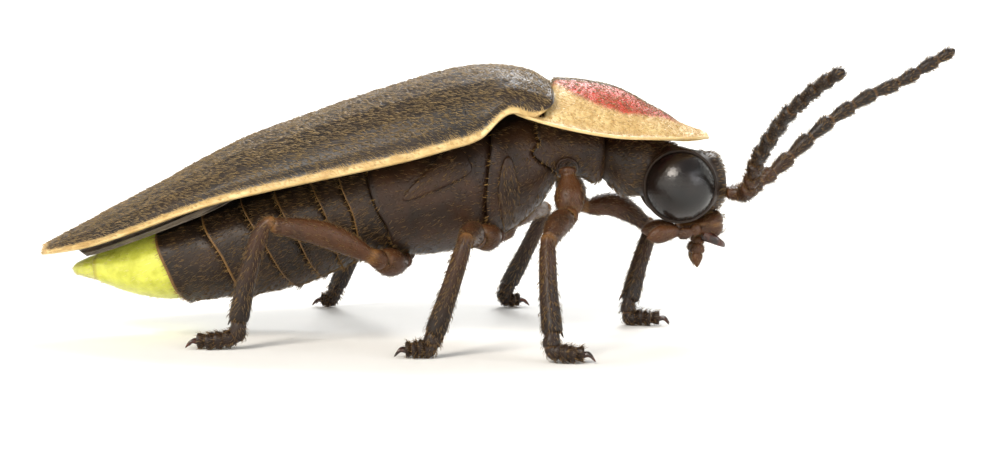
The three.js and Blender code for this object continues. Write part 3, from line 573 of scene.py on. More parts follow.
def folded_wing():
    def place(u, v):
        side = 1 if v < 0.5 else -1
        share = 1 - abs(2 * v - 1)
        x = WING_TAIL + (WING_FRONT - WING_TAIL) * u + 0.5 * (1 - u) ** 12 * (1 - share) ** 3
        vein = max(hump(share, vein_share, VEIN_WIDTH) for vein_share in WING_VEINS)
        crease = CREASE_DEPTH * math.sin(share * CREASE_TURNS + 3 * grain(x, share, 0, 3.0))
        edge = end_swell(u, 0.01) * end_swell(share, 0.03)
        under = WING_DEPTH + WING_SINK * smooth(-13, -9, x) + crease * edge
        under -= side * (FILM_HALF + VEIN_RISE * vein) * edge
        arc = wing_sweep(x) * (1 - share)
        reach = max(case_half_width(x) - under - 0.1, 0.1)
        y = -(0.1 + reach * math.sin(arc))
        z = case_margin(x) + (case_ridge(x) - case_margin(x) - under) * math.cos(arc)
        z -= WING_HANG * smooth(-6, -8.5, x) * (1 - share) ** 2
        return Vector((x, y, z)), vein

    return woven(130, 200, place, ("vein",))


both_sides(folded_wing(), "folded_wing", MEMBRANE, "hindwing", "hindwing")


# Neck shield: a domed plate with flattened, upturned margins and a groove down the middle
SHIELD_STEPS = 64
SHIELD_LOOP = shell_loop(-1.0, SHIELD_STEPS, SHIELD_STEPS, 5, 5)
SHIELD_ROLL = 0.05
SHIELD_FLAT = 0.06
SHIELD_WAVES = 0.025
GROOVE_WIDTH = 0.045
BAR_WIDTH = 0.17


def shield_plate():
    spans = len(SHIELD_LOOP) - 1

    def place(u, v):
        side, depth = SHIELD_LOOP[round(v * spans)]
        level = abs(side)
        arc = math.asin(min(level * shield_half_width(1.2) / case_half_width(1.2), 1))
        against_case = case_front_at(arc / (math.pi / 2))
        rear = mix(against_case - 0.3, SHIELD_TAIL, smooth(0.84, 0.97, level))
        x = rear + (SHIELD_FRONT - rear) * u ** 0.9
        arch = math.cos(side * math.pi / 2) ** 1.3
        disc = 1 - smooth(0.35, 0.9, math.hypot(side * 1.05, (u - 0.42) / 0.62))
        groove = hump(side, 0, GROOVE_WIDTH) * smooth(0.05, 0.3, u) * smooth(0, 0.35, 1 - u)
        rim = smooth(0.92, 0.985, max(level, u))
        flat = hump(max(level, 0.04 + u), 0.86, 0.07)
        tuck = smooth(against_case + 0.12, against_case - 0.1, x) * (1 - smooth(0.78, 0.9, level))
        relief = SHIELD_ROLL * rim - SHIELD_ROLL * groove - SHIELD_FLAT * flat
        relief += SHIELD_WAVES * grain(x, side * 3, 2, 1.1)
        thick = SHIELD_THICKNESS * (1 - 0.5 * smooth(0.6, 1, level)) * end_swell(u, 0.02)
        rise = (shield_ridge(x) - shield_margin(x)) * arch
        z = shield_margin(x) + rise + relief
        under_case = case_margin(x) + (case_ridge(x) - case_margin(x)) * math.cos(arc) - UNDER_CASE
        z -= tuck * max(z - under_case, 0) + depth * thick
        z -= (SHIELD_THICKNESS - thick) / 2
        bulge = 0.03 * math.sin(depth * math.pi) if level == 1.0 else 0.0
        y = side * (shield_half_width(x) + bulge)
        bar = hump(side, 0, BAR_WIDTH) * (1 - 0.35 * smooth(0.5, 0.9, u))
        return Vector((x, y, z)), disc, bar

    return woven(90, spans, place, ("disc", "bar"))


shield_skin = finished(shield_plate(), "neck_shield", SHIELD, "shield", "pronotum")

# Cuts between the trunk's plates in the side view, as place along the body by height, tail first
CUTS = [curve_through(*stations) for stations in (
    ((1.2, -12.25), (2.4, -12.4), (3.2, -12.35)),
    ((0.7, -9.5), (2, -10), (3, -10.45), (4, -10.6)),
    ((0.8, -7.6), (2.5, -8.35), (3.5, -9), (4.6, -9.3)),
    ((0.9, -6.0), (2.9, -7.1), (4.1, -7.9), (5, -8.3)),
    ((1, -5.2), (3.1, -6.15), (4.4, -6.9), (5.6, -7.2)),
    ((1.4, -4.75), (3.7, -5.3), (4.7, -5.8), (6, -6.1)),
    ((1.6, -4.2), (3.7, -4.5), (4.8, -4.95), (6.5, -5.1)),
    ((1.6, -3.3), (3.3, -3.45), (4, -3.8), (4.9, -4.05), (6.8, -4)),
    ((2, -0.45), (4, -0.6), (5, -0.55), (7.4, -0.4)),
    ((4, 2), (4.92, 1.5), (5.33, 0.95), (5.56, 0.74), (5.85, 0.98), (6.0, 0.88), (6.38, 0.86), (7.6, 0.75)),
)]
SEGMENTS = ("lantern_rear", "lantern_front", "abdomen_6", "abdomen_5", "abdomen_4", "abdomen_3",
            "abdomen_2", "abdomen_1", "metathorax", "mesothorax", "prothorax")

# A plate from its tucked front edge to its lip: share of its length, lift, and share of its girth
PLATE_ROWS = ((-0.03, -0.3, 0.0), (-0.03, -0.3, 0.6), (-0.03, -0.22, 1), (0.02, -0.13, 1), (0.07, -0.07, 1),
              (0.13, -0.035, 1), (0.2, -0.01, 1), (0.3, 0, 1), (0.4, 0, 1), (0.5, 0, 1), (0.6, 0, 1),
              (0.7, 0, 1), (0.78, 0, 1), (0.85, 0.005, 1), (0.91, 0.02, 1), (0.96, 0.035, 1),
              (0.99, 0.04, 1), (1.01, 0.03, 1), (1.018, 0.005, 1), (1.01, -0.03, 1), (0.98, -0.1, 1),
              (0.97, -0.2, 1), (0.97, -0.3, 0.6), (0.97, -0.3, 0.0))
TAIL_ROWS = (*PLATE_ROWS[:14], (0.9, 0, 1), (0.94, 0, 1), (0.965, 0, 1), (0.98, 0, 1), (0.99, 0, 1),
             (1, 0, 1), (1, 0, 0.5), (1, 0, 0))
PLATE_SIDES = 120
PLATE_DENTS = 0.03
LOBE_RISE = 0.05

# The plates at the tail are small, and so are their steps and dents
TAIL_SIZES = (0.3, 0.6, 0.85)

# Each ring of a slanting plate comes to rest between its two cuts in this many rounds, which start
# from where the cuts are at this height
SETTLING_ROUNDS = 20
START_HEIGHT = 3


def trunk_point(x, angle, lift, girth=1.0):
    """A point of the trunk's skin, lifted off it, or drawn in towards its middle line."""
    middle = (trunk_top(x) + trunk_underside(x)) / 2
    high = (trunk_top(x) - trunk_underside(x)) / 2
    wide = trunk_half_width(x)
    y = (wide + lift) * girth * fuller(math.cos(angle), TRUNK_ROUNDNESS)
    z = middle + (high + lift) * girth * fuller(math.sin(angle), TRUNK_ROUNDNESS)
    return Vector((x, y, z))


def trunk_plate(index):
    rear = CUTS[index - 1] if index > 0 else lambda z: TRUNK_TAIL
    front = CUTS[index] if index < len(CUTS) else lambda z: TRUNK_FRONT
    is_tail = index == 0
    rows = TAIL_ROWS if is_tail else PLATE_ROWS
    size = TAIL_SIZES[index] if index < len(TAIL_SIZES) else 1.0

    def place(u, v):
        share, lift, girth = rows[round(u * (len(rows) - 1))]
        lift *= size
        angle = v * TURN + math.pi / 2
        x = (front(START_HEIGHT) + rear(START_HEIGHT)) / 2
        for _ in range(SETTLING_ROUNDS):
            z = trunk_point(x, angle, lift, girth).z
            x = (x + mix(front(z), rear(z), share)) / 2
        lobe = 0 if is_tail else LOBE_RISE * smooth(0.75, 1, share) * math.sin(angle * 3) ** 2
        side = trunk_point(x, angle, lift + lobe, girth)
        dent = PLATE_DENTS * grain(side.x, side.y, side.z, 0.9) * girth * size
        side.z += dent * math.sin(angle)
        side.y += dent * math.cos(angle)
        return side, 0.0 if is_tail else smooth(0.9, 1, share)

    return woven(len(rows) - 1, PLATE_SIDES, place, ("edge",))


plates = []
for index, segment in enumerate(SEGMENTS):
    if segment.startswith("lantern"):
        material, slot = LANTERN, "lantern"
    elif segment.startswith("abdomen"):
        material, slot = BODY, "body"
    else:
        material, slot = THORAX, "body"
    plates.append(finished(trunk_plate(index), segment + "_plate", material, slot, segment))


SKIN_DEPTH = 0.2
SKIN_INSET = 0.5
NECK_OVERLAP = 0.5


def inner_skin():
    """Soft skin under the plates, which shows only between them."""
    tail, front = TRUNK_TAIL + SKIN_INSET, HEAD_REAR + NECK_OVERLAP

    def place(u, v):
        x = tail + (front - tail) * u
        girth = end_swell(u, 0.02)
        point = trunk_point(min(x, TRUNK_FRONT), v * TURN, -SKIN_DEPTH, girth)
        point.x = x
        neck = smooth(TRUNK_FRONT - 0.3, HEAD_REAR, x)
        point.y *= mix(1, 0.8, neck)
        point.z = mix(point.z, 5.35 + (point.z - 5.5) * 0.75, neck)
        return (point,)

    return woven(90, 64, place)


finished(inner_skin(), "joint_skin", SKIN, "body")


def trunk_side_at(x, z):
    """How far out the trunk's side is at a place of the side view."""
    middle = (trunk_top(x) + trunk_underside(x)) / 2
    level = min(abs(z - middle) / (trunk_top(x) - middle), 1) ** TRUNK_ROUNDNESS
    return trunk_half_width(x) * (1 - level) ** (1 / TRUNK_ROUNDNESS)


FLANK_ROUNDNESS = 3.2
FLANK_RISE = 0.1


def flank_plate(foot, head, half_width):
    """A plate raised on the side of the thorax, along a line in the side view."""
    foot, head = Vector((foot[0], 0, foot[1])), Vector((head[0], 0, head[1]))
    run = (head - foot).normalized()
    across = Vector((-run.z, 0, run.x))

    def place(u, v):
        turn = v * TURN
        half = half_width(u) * end_swell(u, 0.12)
        spot = foot.lerp(head, u) + across * fuller(math.cos(turn), FLANK_ROUNDNESS) * half
        rise = FLANK_RISE * fuller(math.sin(turn), FLANK_ROUNDNESS) * end_swell(u, 0.08)
        rise += 0.012 * grain(spot.x, 3, spot.z, 0.5)
        spot.y = -(trunk_side_at(spot.x, spot.z) + rise)
        return spot, smooth(0.75, 1, abs(math.cos(turn)))

    return woven(40, 32, place, ("edge",))


HIND_FLANK = flank_plate((-3.1, 4.2), (-1.2, 5.5),
                         curve_through((0, 0.06), (0.15, 0.17), (0.6, 0.4), (1, 0.5)))
MID_FLANK = flank_plate((0.02, 3.15), (-0.02, 5.5),
                        curve_through((0, 0.12), (0.3, 0.26), (0.6, 0.3), (1, 0.12)))
flanks = [*both_sides(HIND_FLANK, "hind_flank", THORAX, "body"),
          *both_sides(MID_FLANK, "mid_flank", THORAX, "body")]


# Limbs: rings along a curve through points
SPAN_STEPS = 60


def even_curve(points, count=1600):
    """A smooth curve through points, as places at even steps of its length, with their headings."""
    ends = [2 * Vector(points[0]) - Vector(points[1])]
    ends += [Vector(p) for p in points]
    ends.append(2 * Vector(points[-1]) - Vector(points[-2]))
    dense = []
    for k in range(1, len(ends) - 2):
        a, b, c, d = ends[k - 1:k + 3]
        for i in range(SPAN_STEPS + (k == len(ends) - 3)):
            t = i / SPAN_STEPS
            dense.append(0.5 * (2 * b + (c - a) * t + (2 * a - 5 * b + 4 * c - d) * t * t
                                + (3 * b - a - 3 * c + d) * t ** 3))
    dense = np.array([list(p) for p in dense])
    run = np.concatenate([[0], np.cumsum(np.linalg.norm(np.diff(dense, axis=0), axis=1))])
    at = np.linspace(0, run[-1], count)
    places = np.stack([np.interp(at, run, dense[:, k]) for k in range(3)], axis=1)
    headings = np.gradient(places, axis=0)
    return places, headings / np.linalg.norm(headings, axis=1)[:, None]


def limb(points, rows, sides, section, leaning, marks=(), crowding=0.0):
    """A limb of rings, which may crowd at its ends. section gives half-depth, half-width and
    the marks by share and angle."""
    places, headings = even_curve(points)
    lean = Vector(leaning)

    def place(u, v):
        u = crowded(u, crowding)
        k = round(u * (len(places) - 1))
        heading = Vector(headings[k])
        upward = (lean - heading * lean.dot(heading)).normalized()
        sideways = heading.cross(upward)
        angle = v * TURN
        depth, width, *values = section(u, angle)
        point = Vector(places[k]) + upward * depth * math.cos(angle) + sideways * width * math.sin(angle)
        return point, *values

    return woven(rows, sides, place, marks)


LIMB_MARKS = ("joint", "dark")
UPRIGHT = (0, 0, 1)
FORWARD = (1, 0, 0)

# Legs: the joints of each, from the body outwards
LEGS = {
    "front_right": (((1.72, -1.55, 5.15), (1.78, -1.75, 4.5), (1.8, -1.95, 3.85)),
                    ((1.72, -2.5, 3.68), (1.4, -3.7, 3.64), (1.1, -4.76, 3.42)),
                    ((1.06, -5.04, 3.08), (1.08, -5.5, 1.9), (1.2, -5.9, 0.84)),
                    ((1.16, -6.0, 0.4), (1.5, -6.02, 0.28), (2.05, -6, 0.25))),
    "mid_right": (((-0.3, -0.85, 3.05), (-0.55, -1.35, 3.08), (-0.8, -1.85, 3.05)),
                  ((-0.92, -2.2, 3.1), (-1.06, -3.6, 3.35), (-1.15, -4.75, 3.42)),
                  ((-1.28, -5.06, 3.1), (-1.66, -5.12, 1.9), (-2.06, -5.1, 0.7)),
                  ((-2.24, -5.12, 0.3), (-2.5, -5.12, 0.27), (-2.9, -5.1, 0.25))),
    "hind_right": (((-3.05, -0.85, 2.35), (-3.35, -1.5, 2.3), (-3.68, -2.1, 2.4)),
                   ((-3.92, -2.46, 2.56), (-5.3, -3.08, 3.28), (-6.62, -3.35, 3.72)),
                   ((-7.04, -3.45, 3.46), (-7.45, -3.48, 2.2), (-7.76, -3.48, 0.84)),
                   ((-7.84, -3.46, 0.42), (-8.3, -3.46, 0.28), (-8.96, -3.4, 0.25))),
    "front_left": (((1.72, 1.55, 5.15), (1.85, 1.7, 4.5), (2.05, 1.75, 3.95)),
                   ((2.55, 1.87, 3.72), (3.4, 2.1, 3.74), (4.28, 2.35, 3.34)),
                   ((4.45, 2.3, 2.9), (4.1, 2.05, 1.8), (3.78, 1.8, 0.86)),
                   ((3.8, 1.7, 0.27), (4.2, 1.66, 0.26), (4.75, 1.6, 0.25))),
    "mid_left": (((-0.3, 0.85, 3.05), (-0.25, 1.35, 3.08), (-0.1, 1.85, 3.05)),
                 ((0.05, 2.2, 3.12), (0.7, 3.6, 3.5), (1.2, 4.74, 3.55)),
                 ((1.2, 5.12, 3.25), (0.62, 5.6, 1.95), (0.07, 6.0, 0.87)),
                 ((-0.1, 6.12, 0.38), (0.08, 6.18, 0.28), (0.42, 6.25, 0.25))),
    "hind_left": (((-3.05, 0.85, 2.35), (-3.35, 1.5, 2.3), (-3.6, 2.1, 2.4)),
                  ((-3.68, 2.4, 2.55), (-3.98, 3.8, 3.2), (-4.22, 5.02, 3.52)),
                  ((-4.42, 5.38, 3.2), (-5.05, 5.8, 2.0), (-5.68, 6.1, 0.75)),
                  ((-5.84, 6.16, 0.36), (-5.96, 6.2, 0.28), (-6.2, 6.26, 0.25))),
}
LEG_SIDES = 22
END_CROWDING = 0.8
hip_girth = curve_through((0, 0.16), (0.06, 0.25), (0.12, 0.26), (0.17, 0.21), (0.3, 0.3), (0.6, 0.44),
                          (0.82, 0.4), (0.93, 0.3), (1, 0.12))
thigh_girth = curve_through((0, 0.14), (0.03, 0.24), (0.09, 0.29), (0.14, 0.24), (0.18, 0.22), (0.3, 0.3),
                            (0.5, 0.37), (0.75, 0.33), (0.9, 0.27), (0.96, 0.25), (1, 0.12))
shin_girth = curve_through((0, 0.1), (0.03, 0.18), (0.07, 0.2), (0.11, 0.19), (0.2, 0.22), (0.6, 0.25),
                           (0.9, 0.28), (0.96, 0.26), (1, 0.16))
FOOT_SHARES = (0.3, 0.2, 0.16, 0.16, 0.18)
FOOT_WIDTHS = (0.24, 0.25, 0.27, 0.33, 0.2)
FOOT_HEIGHTS = (0.26, 0.26, 0.26, 0.26, 0.22)


def rounded_end(u, girth):
    """Girth drawn down to a point at both ends, so that the tube closes."""
    return girth * end_swell(u, 0.06)


def hip(points):
    def section(u, angle):
        girth = rounded_end(u, hip_girth(u))
        return girth, girth * 0.95, 0.5 * smooth(0.85, 1, u), 0.35

    return limb(points, 56, LEG_SIDES, section, FORWARD, LIMB_MARKS, END_CROWDING)


def thigh(points):
    def section(u, angle):
        girth = rounded_end(u, thigh_girth(u))
        groove = 1 - 0.22 * smooth(0.6, 0.95, u) * max(-math.cos(angle), 0) ** 6
        joint = hump(u, 0.16, 0.03) + smooth(0.93, 0.99, u)
        return girth * groove, girth * 0.88, min(joint, 1), 0.15 + 0.35 * u

    return limb(points, 90, LEG_SIDES, section, UPRIGHT, LIMB_MARKS, END_CROWDING)


def shin(points):
    def section(u, angle):
        girth = rounded_end(u, shin_girth(u))
        ridge = 1 + 0.05 * math.cos(angle * 4)
        joint = 1 - smooth(0.03, 0.12, u)
        return girth * ridge, girth * ridge * 0.92, joint, 0.45 + 0.4 * u

    return limb(points, 90, LEG_SIDES, section, FORWARD, LIMB_MARKS, END_CROWDING)


def claw(start, bend, tip, root=0.085):
    def section(u, angle):
        girth = (root * (1 - u) ** 0.6 + 0.004) * end_swell(u, 0.02)
        return girth, girth * 0.7, 0.0, 1.0

    return limb((start, bend, tip), 16, 10, section, UPRIGHT, LIMB_MARKS)


def shin_spurs(points):
    """Two short spurs that slant out from the end of a shin."""
    ankle, above = Vector(points[2]), Vector(points[1])
    heading = (ankle - above).normalized()
    across = heading.cross(Vector((0, 1, 0))).normalized()
    spurs = []
    for side in (-1, 1):
        root = ankle - heading * 0.12 + across * 0.15 * side
        tip = ankle + heading * 0.2 + across * 0.26 * side
        spurs.append(claw(root, root.lerp(tip, 0.5) + across * 0.02 * side, tip, 0.05))
    return joined(*spurs)


def ring_share(u, shares):
    """Which ring of a limb a share of its length falls in, and how far along that ring."""
    start = 0.0
    for k, share in enumerate(shares):
        if u <= start + share or k == len(shares) - 1:
            return k, min((u - start) / share, 1.0)
        start += share


def foot(points):
    """Five short rings, the fourth broad and cleft into two pads."""
    def section(u, angle):
        k, t = ring_share(u, FOOT_SHARES)
        flare = 0.7 + 0.3 * smooth(0, 0.75, t)
        lip = 1 - 0.3 * smooth(0.92, 1, t)
        width = FOOT_WIDTHS[k] * flare * lip
        height = FOOT_HEIGHTS[k] * (0.8 + 0.2 * smooth(0, 0.7, t)) * lip
        if k == 3:
            height *= 1 - 0.25 * smooth(0.4, 0.9, t) * max(math.cos(angle), 0) ** 4
        joint = 0.5 * (1 - smooth(0, 0.12, t))
        ends = end_swell(u, 0.02)
        return height * ends, width * ends, joint, 0.75

    bm = limb(points, 90, LEG_SIDES, section, UPRIGHT, LIMB_MARKS)
    for vert in bm.verts:
        vert.co.z = max(vert.co.z, 0.0)
    bmesh.ops.remove_doubles(bm, verts=bm.verts, dist=MERGE)
    return bm


def foot_claws(points):
    toe = Vector(points[-1])
    heading = toe - Vector(points[-2])
    heading.z = 0
    heading.normalize()
    across = Vector((-heading.y, heading.x, 0))
    claws = []
    for side in (-1, 1):
        def at(forward, out, up):
            spot = toe + heading * forward + across * side * out
            spot.z = up
            return spot
        claws.append(claw(at(-0.12, 0.05, 0.2), at(0.12, 0.13, 0.24), at(0.3, 0.2, 0.06)))
    return joined(*claws)


def towards(start, end, share):
    """The point that lies that share of the way from start to end."""
    return Vector(start) + (Vector(end) - Vector(start)) * share


# Each part of a leg runs on into the next by a share of the gap between their joints
HIP_REACH = 0.35
KNEE_REACH = 0.6
ANKLE_REACH = 0.3
leg_skins = {"hip": [], "thigh": [], "shin": [], "foot": []}
for leg, (coxa, femur, tibia, tarsus) in LEGS.items():
    hip_tip = towards(coxa[2], femur[0], HIP_REACH)
    knee = towards(femur[2], tibia[0], KNEE_REACH)
    ankle = towards(tibia[2], tarsus[0], ANKLE_REACH)
    for kind, bm, solid in (("hip", hip((*coxa[:2], hip_tip)), "coxa"),
                            ("thigh", thigh((coxa[2], *femur[:2], knee)), "femur"),
                            ("shin", shin((femur[2], *tibia[:2], ankle)), "tibia"),
                            ("foot", foot((tibia[2], *tarsus)), "tarsus")):
        leg_skins[kind].append(finished(bm, f"{kind}_{leg}", LIMB, "limb", f"{leg}_{solid}"))
    finished(foot_claws(tarsus), "claws_" + leg, HORN, "limb")
    finished(shin_spurs(tibia), "spurs_" + leg, HORN, "limb")


def raised_ring(centre, radius, thick, rise, side_at, segments):
    """A smooth rim of cuticle on the side of the body, where side_at gives how far out that is."""
    def place(u, v):
        turn, round_it = u * TURN, v * TURN
        out = radius + thick * math.cos(round_it)
        spot = Vector((centre[0] + out * math.cos(turn), 0, centre[1] + out * math.sin(turn)))
        spot.y = -(side_at(spot.x, spot.z) + 0.02 + rise * math.sin(round_it))
        return spot, 0.0

    return woven(segments, 12, place, ("edge",))


# The rim of the prothorax round the root of a front hip
both_sides(raised_ring((1.74, 5.06), 0.3, 0.06, 0.09, trunk_side_at, 40), "hip_socket", THORAX, "body")


# Head: a capsule with a collar round each eye and a furrowed face
HEAD_ROUNDNESS = 2.4
COLLAR_RADIUS = 1.1
FURROW_DEPTH = 0.16


def head_capsule():
    def place(u, v):
        x = HEAD_REAR + (HEAD_FRONT - HEAD_REAR) * crowded(u, 0.3)
        angle = v * TURN
        ends = end_swell(u, 0.05) if u > 0.5 else smooth(-0.001, 0.04, u)
        high = (head_top(x) - head_underside(x)) / 2
        middle = (head_top(x) + head_underside(x)) / 2
        y = head_half_width(x) * fuller(math.cos(angle), HEAD_ROUNDNESS) * ends
        z = middle + high * fuller(math.sin(angle), HEAD_ROUNDNESS) * ends
        away = math.hypot(x - EYE_CENTRE.x, z - EYE_CENTRE.z)
        collar = 1 - smooth(COLLAR_RADIUS * 0.9, COLLAR_RADIUS * 1.12, away)
        beside = smooth(0.2, 0.6, abs(y))
        y = math.copysign(mix(abs(y), max(abs(y), EYE_CENTRE.y + 0.04), collar * beside), y)
        face = smooth(5.9, 6.4, x)
        furrow = hump(y, 0, 0.13) * face * smooth(4.0, 4.3, z) * smooth(0, 0.5, 5.4 - z)
        x -= FURROW_DEPTH * furrow
        dent = 0.025 * grain(x, y, z, 0.6)
        return Vector((x + dent, y, z + dent)), 0.0

    return woven(90, 96, place, ("edge",))


head_skin = finished(head_capsule(), "head_capsule", HEAD, "body", "head")


# Compound eyes: domes of six-sided lenses. Their seams and swell are shares of a triangle's side.
LENS_SEAM = 0.07
LENS_SWELL = 0.16


def compound_eye():
    """A ball of triangles with its corners cut off is a ball of hexagons."""
    bm = bmesh.new()
    bmesh.ops.create_icosphere(bm, subdivisions=4, radius=1.0)
    bmesh.ops.bisect_plane(bm, geom=[*bm.verts, *bm.edges, *bm.faces], plane_co=(0, 0.3, 0),
                           plane_no=(0, 1, 0), clear_outer=True)
    side = sum(edge.calc_length() for edge in bm.edges) / len(bm.edges)
    bmesh.ops.bevel(bm, geom=[*bm.verts, *bm.edges], offset=side / 3, offset_type="OFFSET",
                    affect="VERTICES", segments=1, profile=0.5, material=-1)
    cells = [face for face in bm.faces if face.calc_area() > 0.3 * side * side]
    bmesh.ops.inset_individual(bm, faces=cells, thickness=side * LENS_SEAM, depth=0.0)
    lenses = [face for face in cells if face.is_valid]
    bmesh.ops.poke(bm, faces=lenses, offset=side * LENS_SWELL)
    stretch = Vector((EYE_RADIUS, EYE_BULGE, EYE_RADIUS))
    for vert in bm.verts:
        vert.co = Vector(a * b for a, b in zip(vert.co, stretch))
        vert.co += Vector((EYE_CENTRE.x, -EYE_CENTRE.y, EYE_CENTRE.z))
    bmesh.ops.holes_fill(bm, edges=[edge for edge in bm.edges if edge.is_boundary])
    bmesh.ops.recalc_face_normals(bm, faces=bm.faces)
    return bm


both_sides(compound_eye(), "compound_eye", LENS, "eye", "eye")


# The ring of cuticle that each eye is set in
EYE_RIM = raised_ring((EYE_CENTRE.x, EYE_CENTRE.z), EYE_RADIUS + 0.03, 0.07, 0.1,
                      lambda x, z: EYE_CENTRE.y, 72)
both_sides(EYE_RIM, "eye_rim", HEAD, "body")


# Mouth: clypeus and lip, a pair of sickle jaws, and four palps
lip_top = curve_through((5.3, 3.42), (5.85, 3.6), (6.3, 3.75), (6.5, 3.6))
lip_underside = curve_through((5.3, 3.05), (5.85, 2.98), (6.3, 2.95), (6.5, 3.1))
lip_half_width = curve_through((5.3, 0.45), (5.85, 0.6), (6.3, 0.55), (6.5, 0.35))
LIP_REAR = 5.1
LIP_LENGTH = 1.42
LIP_SEAM = 3.36
LIP_ROUNDNESS = 2.6


def mouth_plate():
    def place(u, v):
        x = LIP_REAR + LIP_LENGTH * u
        ends = end_swell(u, 0.08)
        middle = (lip_top(x) + lip_underside(x)) / 2
        high = (lip_top(x) - lip_underside(x)) / 2
        y = lip_half_width(x) * fuller(math.cos(v * TURN), LIP_ROUNDNESS) * ends
        z = middle + high * fuller(math.sin(v * TURN), LIP_ROUNDNESS) * ends
        seam = hump(z, LIP_SEAM, 0.035)
        return Vector((x - 0.05 * seam, y * (1 - 0.05 * seam), z)), seam, 0.3

    return woven(40, 40, place, LIMB_MARKS)


mouth_skin = finished(mouth_plate(), "mouth_plate", LIMB, "limb", "clypeus")


def jaw():
    def section(u, angle):
        girth = 0.18 * (1 - u) ** 0.75 + 0.01
        return girth * end_swell(u, 0.03), girth * 0.6 * end_swell(u, 0.03)

    return limb(((5.85, -0.42, 3.05), (6.25, -0.5, 2.86), (6.5, -0.3, 2.72), (6.46, 0.02, 2.68)), 40, 14,
                section, UPRIGHT)


both_sides(jaw(), "jaw", HORN, "limb")

jaw_palp_girth = curve_through((0, 0.1), (0.06, 0.17), (0.16, 0.18), (0.19, 0.12), (0.22, 0.15),
                               (0.38, 0.19), (0.42, 0.12), (0.46, 0.17), (0.72, 0.27), (0.88, 0.2),
                               (1, 0.03))
lip_palp_girth = curve_through((0, 0.1), (0.08, 0.16), (0.2, 0.18), (0.24, 0.13), (0.3, 0.2), (0.5, 0.22),
                               (0.56, 0.13), (0.6, 0.18), (0.76, 0.15), (1, 0.02))


def palp(points, girth_at, leaning):
    def section(u, angle):
        girth = rounded_end(u, girth_at(u))
        return girth, girth * 0.8, 0.0, 0.3

    return limb(points, 72, 18, section, leaning, LIMB_MARKS, END_CROWDING)


palp_skins = [
    *both_sides(palp(((5.75, -0.62, 3.3), (5.3, -0.85, 3.12), (4.85, -0.94, 3.16), (4.1, -1.2, 3.0)),
                     jaw_palp_girth, UPRIGHT), "jaw_palp", LIMB, "limb", "maxillary_palp"),
    *both_sides(palp(((5.76, -0.26, 2.98), (5.7, -0.34, 2.66), (5.68, -0.42, 2.4), (5.68, -0.5, 2.05)),
                     lip_palp_girth, FORWARD), "lip_palp", LIMB, "limb", "labial_palp"),
]

# Feelers: eleven rings, each narrow at its base and widest near its far end
FEELERS = {
    "right": ((6.55, -0.36, 4.3), (7.0, -0.46, 4.28), (7.18, -0.9, 4.5), (7.3, -1.75, 5.35),
              (7.58, -2.7, 6.1), (7.92, -3.5, 6.75), (8.3, -4.15, 7.22), (8.66, -4.72, 7.6),
              (9.16, -5.4, 8.0)),
    "left": ((6.5, 0.36, 4.3), (6.95, 0.44, 4.26), (7.5, 0.64, 4.44), (8.28, 0.9, 4.98), (9.13, 1.1, 5.76),
             (10.0, 1.3, 6.46), (11.17, 1.6, 7.16), (12.22, 1.8, 7.62), (13.05, 2.0, 8.1),
             (13.95, 2.2, 8.6)),
}
FEELER_SHARES = (0.15, 0.055, 0.085, 0.095, 0.095, 0.094, 0.091, 0.089, 0.085, 0.081, 0.08)
FEELER_GIRTH = 0.275
FEELER_TAPER = 0.006


def feeler(points):
    def section(u, angle):
        k, t = ring_share(u, FEELER_SHARES)
        girth = FEELER_GIRTH - FEELER_TAPER * k
        girth = girth * (0.66 + 0.34 * smooth(-0.05, 0.7, t)) * (1 - 0.42 * smooth(0.9, 1, t))
        joint = 0.7 * (1 - smooth(0, 0.09, t))
        if k == len(FEELER_SHARES) - 1:
            girth *= 1 - smooth(0.55, 1, t) * 0.6
        ends = end_swell(u, 0.012)
        return girth * ends, girth * 0.92 * ends, joint, 0.3 + 0.5 * smooth(0, 0.4, u)

    return limb(points, 260, LEG_SIDES, section, (0, 1, 0.2), LIMB_MARKS)


feeler_skins = [finished(feeler(points), "feeler_" + side, LIMB, "limb", "antenna_" + side)
                for side, points in FEELERS.items()]


# Coat: short hairs as solid mesh, rooted in the skins and lying along them. A hair is a ring of
# three points in the skin, a narrower one at its bend, and a tip.
RING_ANGLES = (0.0, TURN / 3, 2 * TURN / 3)
BEND_HEIGHT = 0.62
BEND_GIRTH = 0.75
TIP_HEIGHT = 0.85
HAIR_CLEARANCE = 0.02 * MM

# How unlike each other the hairs are: their turn in radians, then shares of length, slope and width
HAIR_SWAY = 0.22
LENGTH_SPREAD = (0.7, 1.2)
SLOPE_SPREAD = (0.7, 1.35)
WIDTH_SPREAD = (0.8, 1.15)
DARK_TONES = (0.0, 0.55)
PALE_TONES = (0.7, 1.0)

# The baking map is a square of cells, one for each skin, and a hair is a small patch in its cell
ATLAS_SIDE = 8
CELL_MARGIN = 0.02
CELL_ROOM = 0.94
HAIR_PATCH = 0.003
PATCH_CORNERS = np.array(((0, 0), (0.5, 0), (1, 0), (0, 0.5), (0.5, 0.5), (1, 0.5), (0.5, 1))) * HAIR_PATCH
HAIR_FACES = ((0, 1, 4, 3), (1, 2, 5, 4), (2, 0, 3, 5), (3, 4, 6), (4, 5, 6), (5, 3, 6), (2, 1, 0))


def bed(skin, count, length, width, slope, reach, ring=(0.0, 1.0), lie=1, pale=None, keep=None):
    """Hairs to grow on a skin: their number, size in mm and slope in degrees, the part of the
    skin's length and of its ring that they stand on, which way they lie along its length, the
    mark that makes them paler, and a test of the place of each."""
    return {"skin": skin, "count": count, "length": length, "width": width, "slope": slope,
            "reach": reach, "ring": ring, "lie": lie, "pale": pale, "keep": keep}


def unit(rows):
    return rows / np.maximum(np.linalg.norm(rows, axis=1), 1e-12)[:, None]


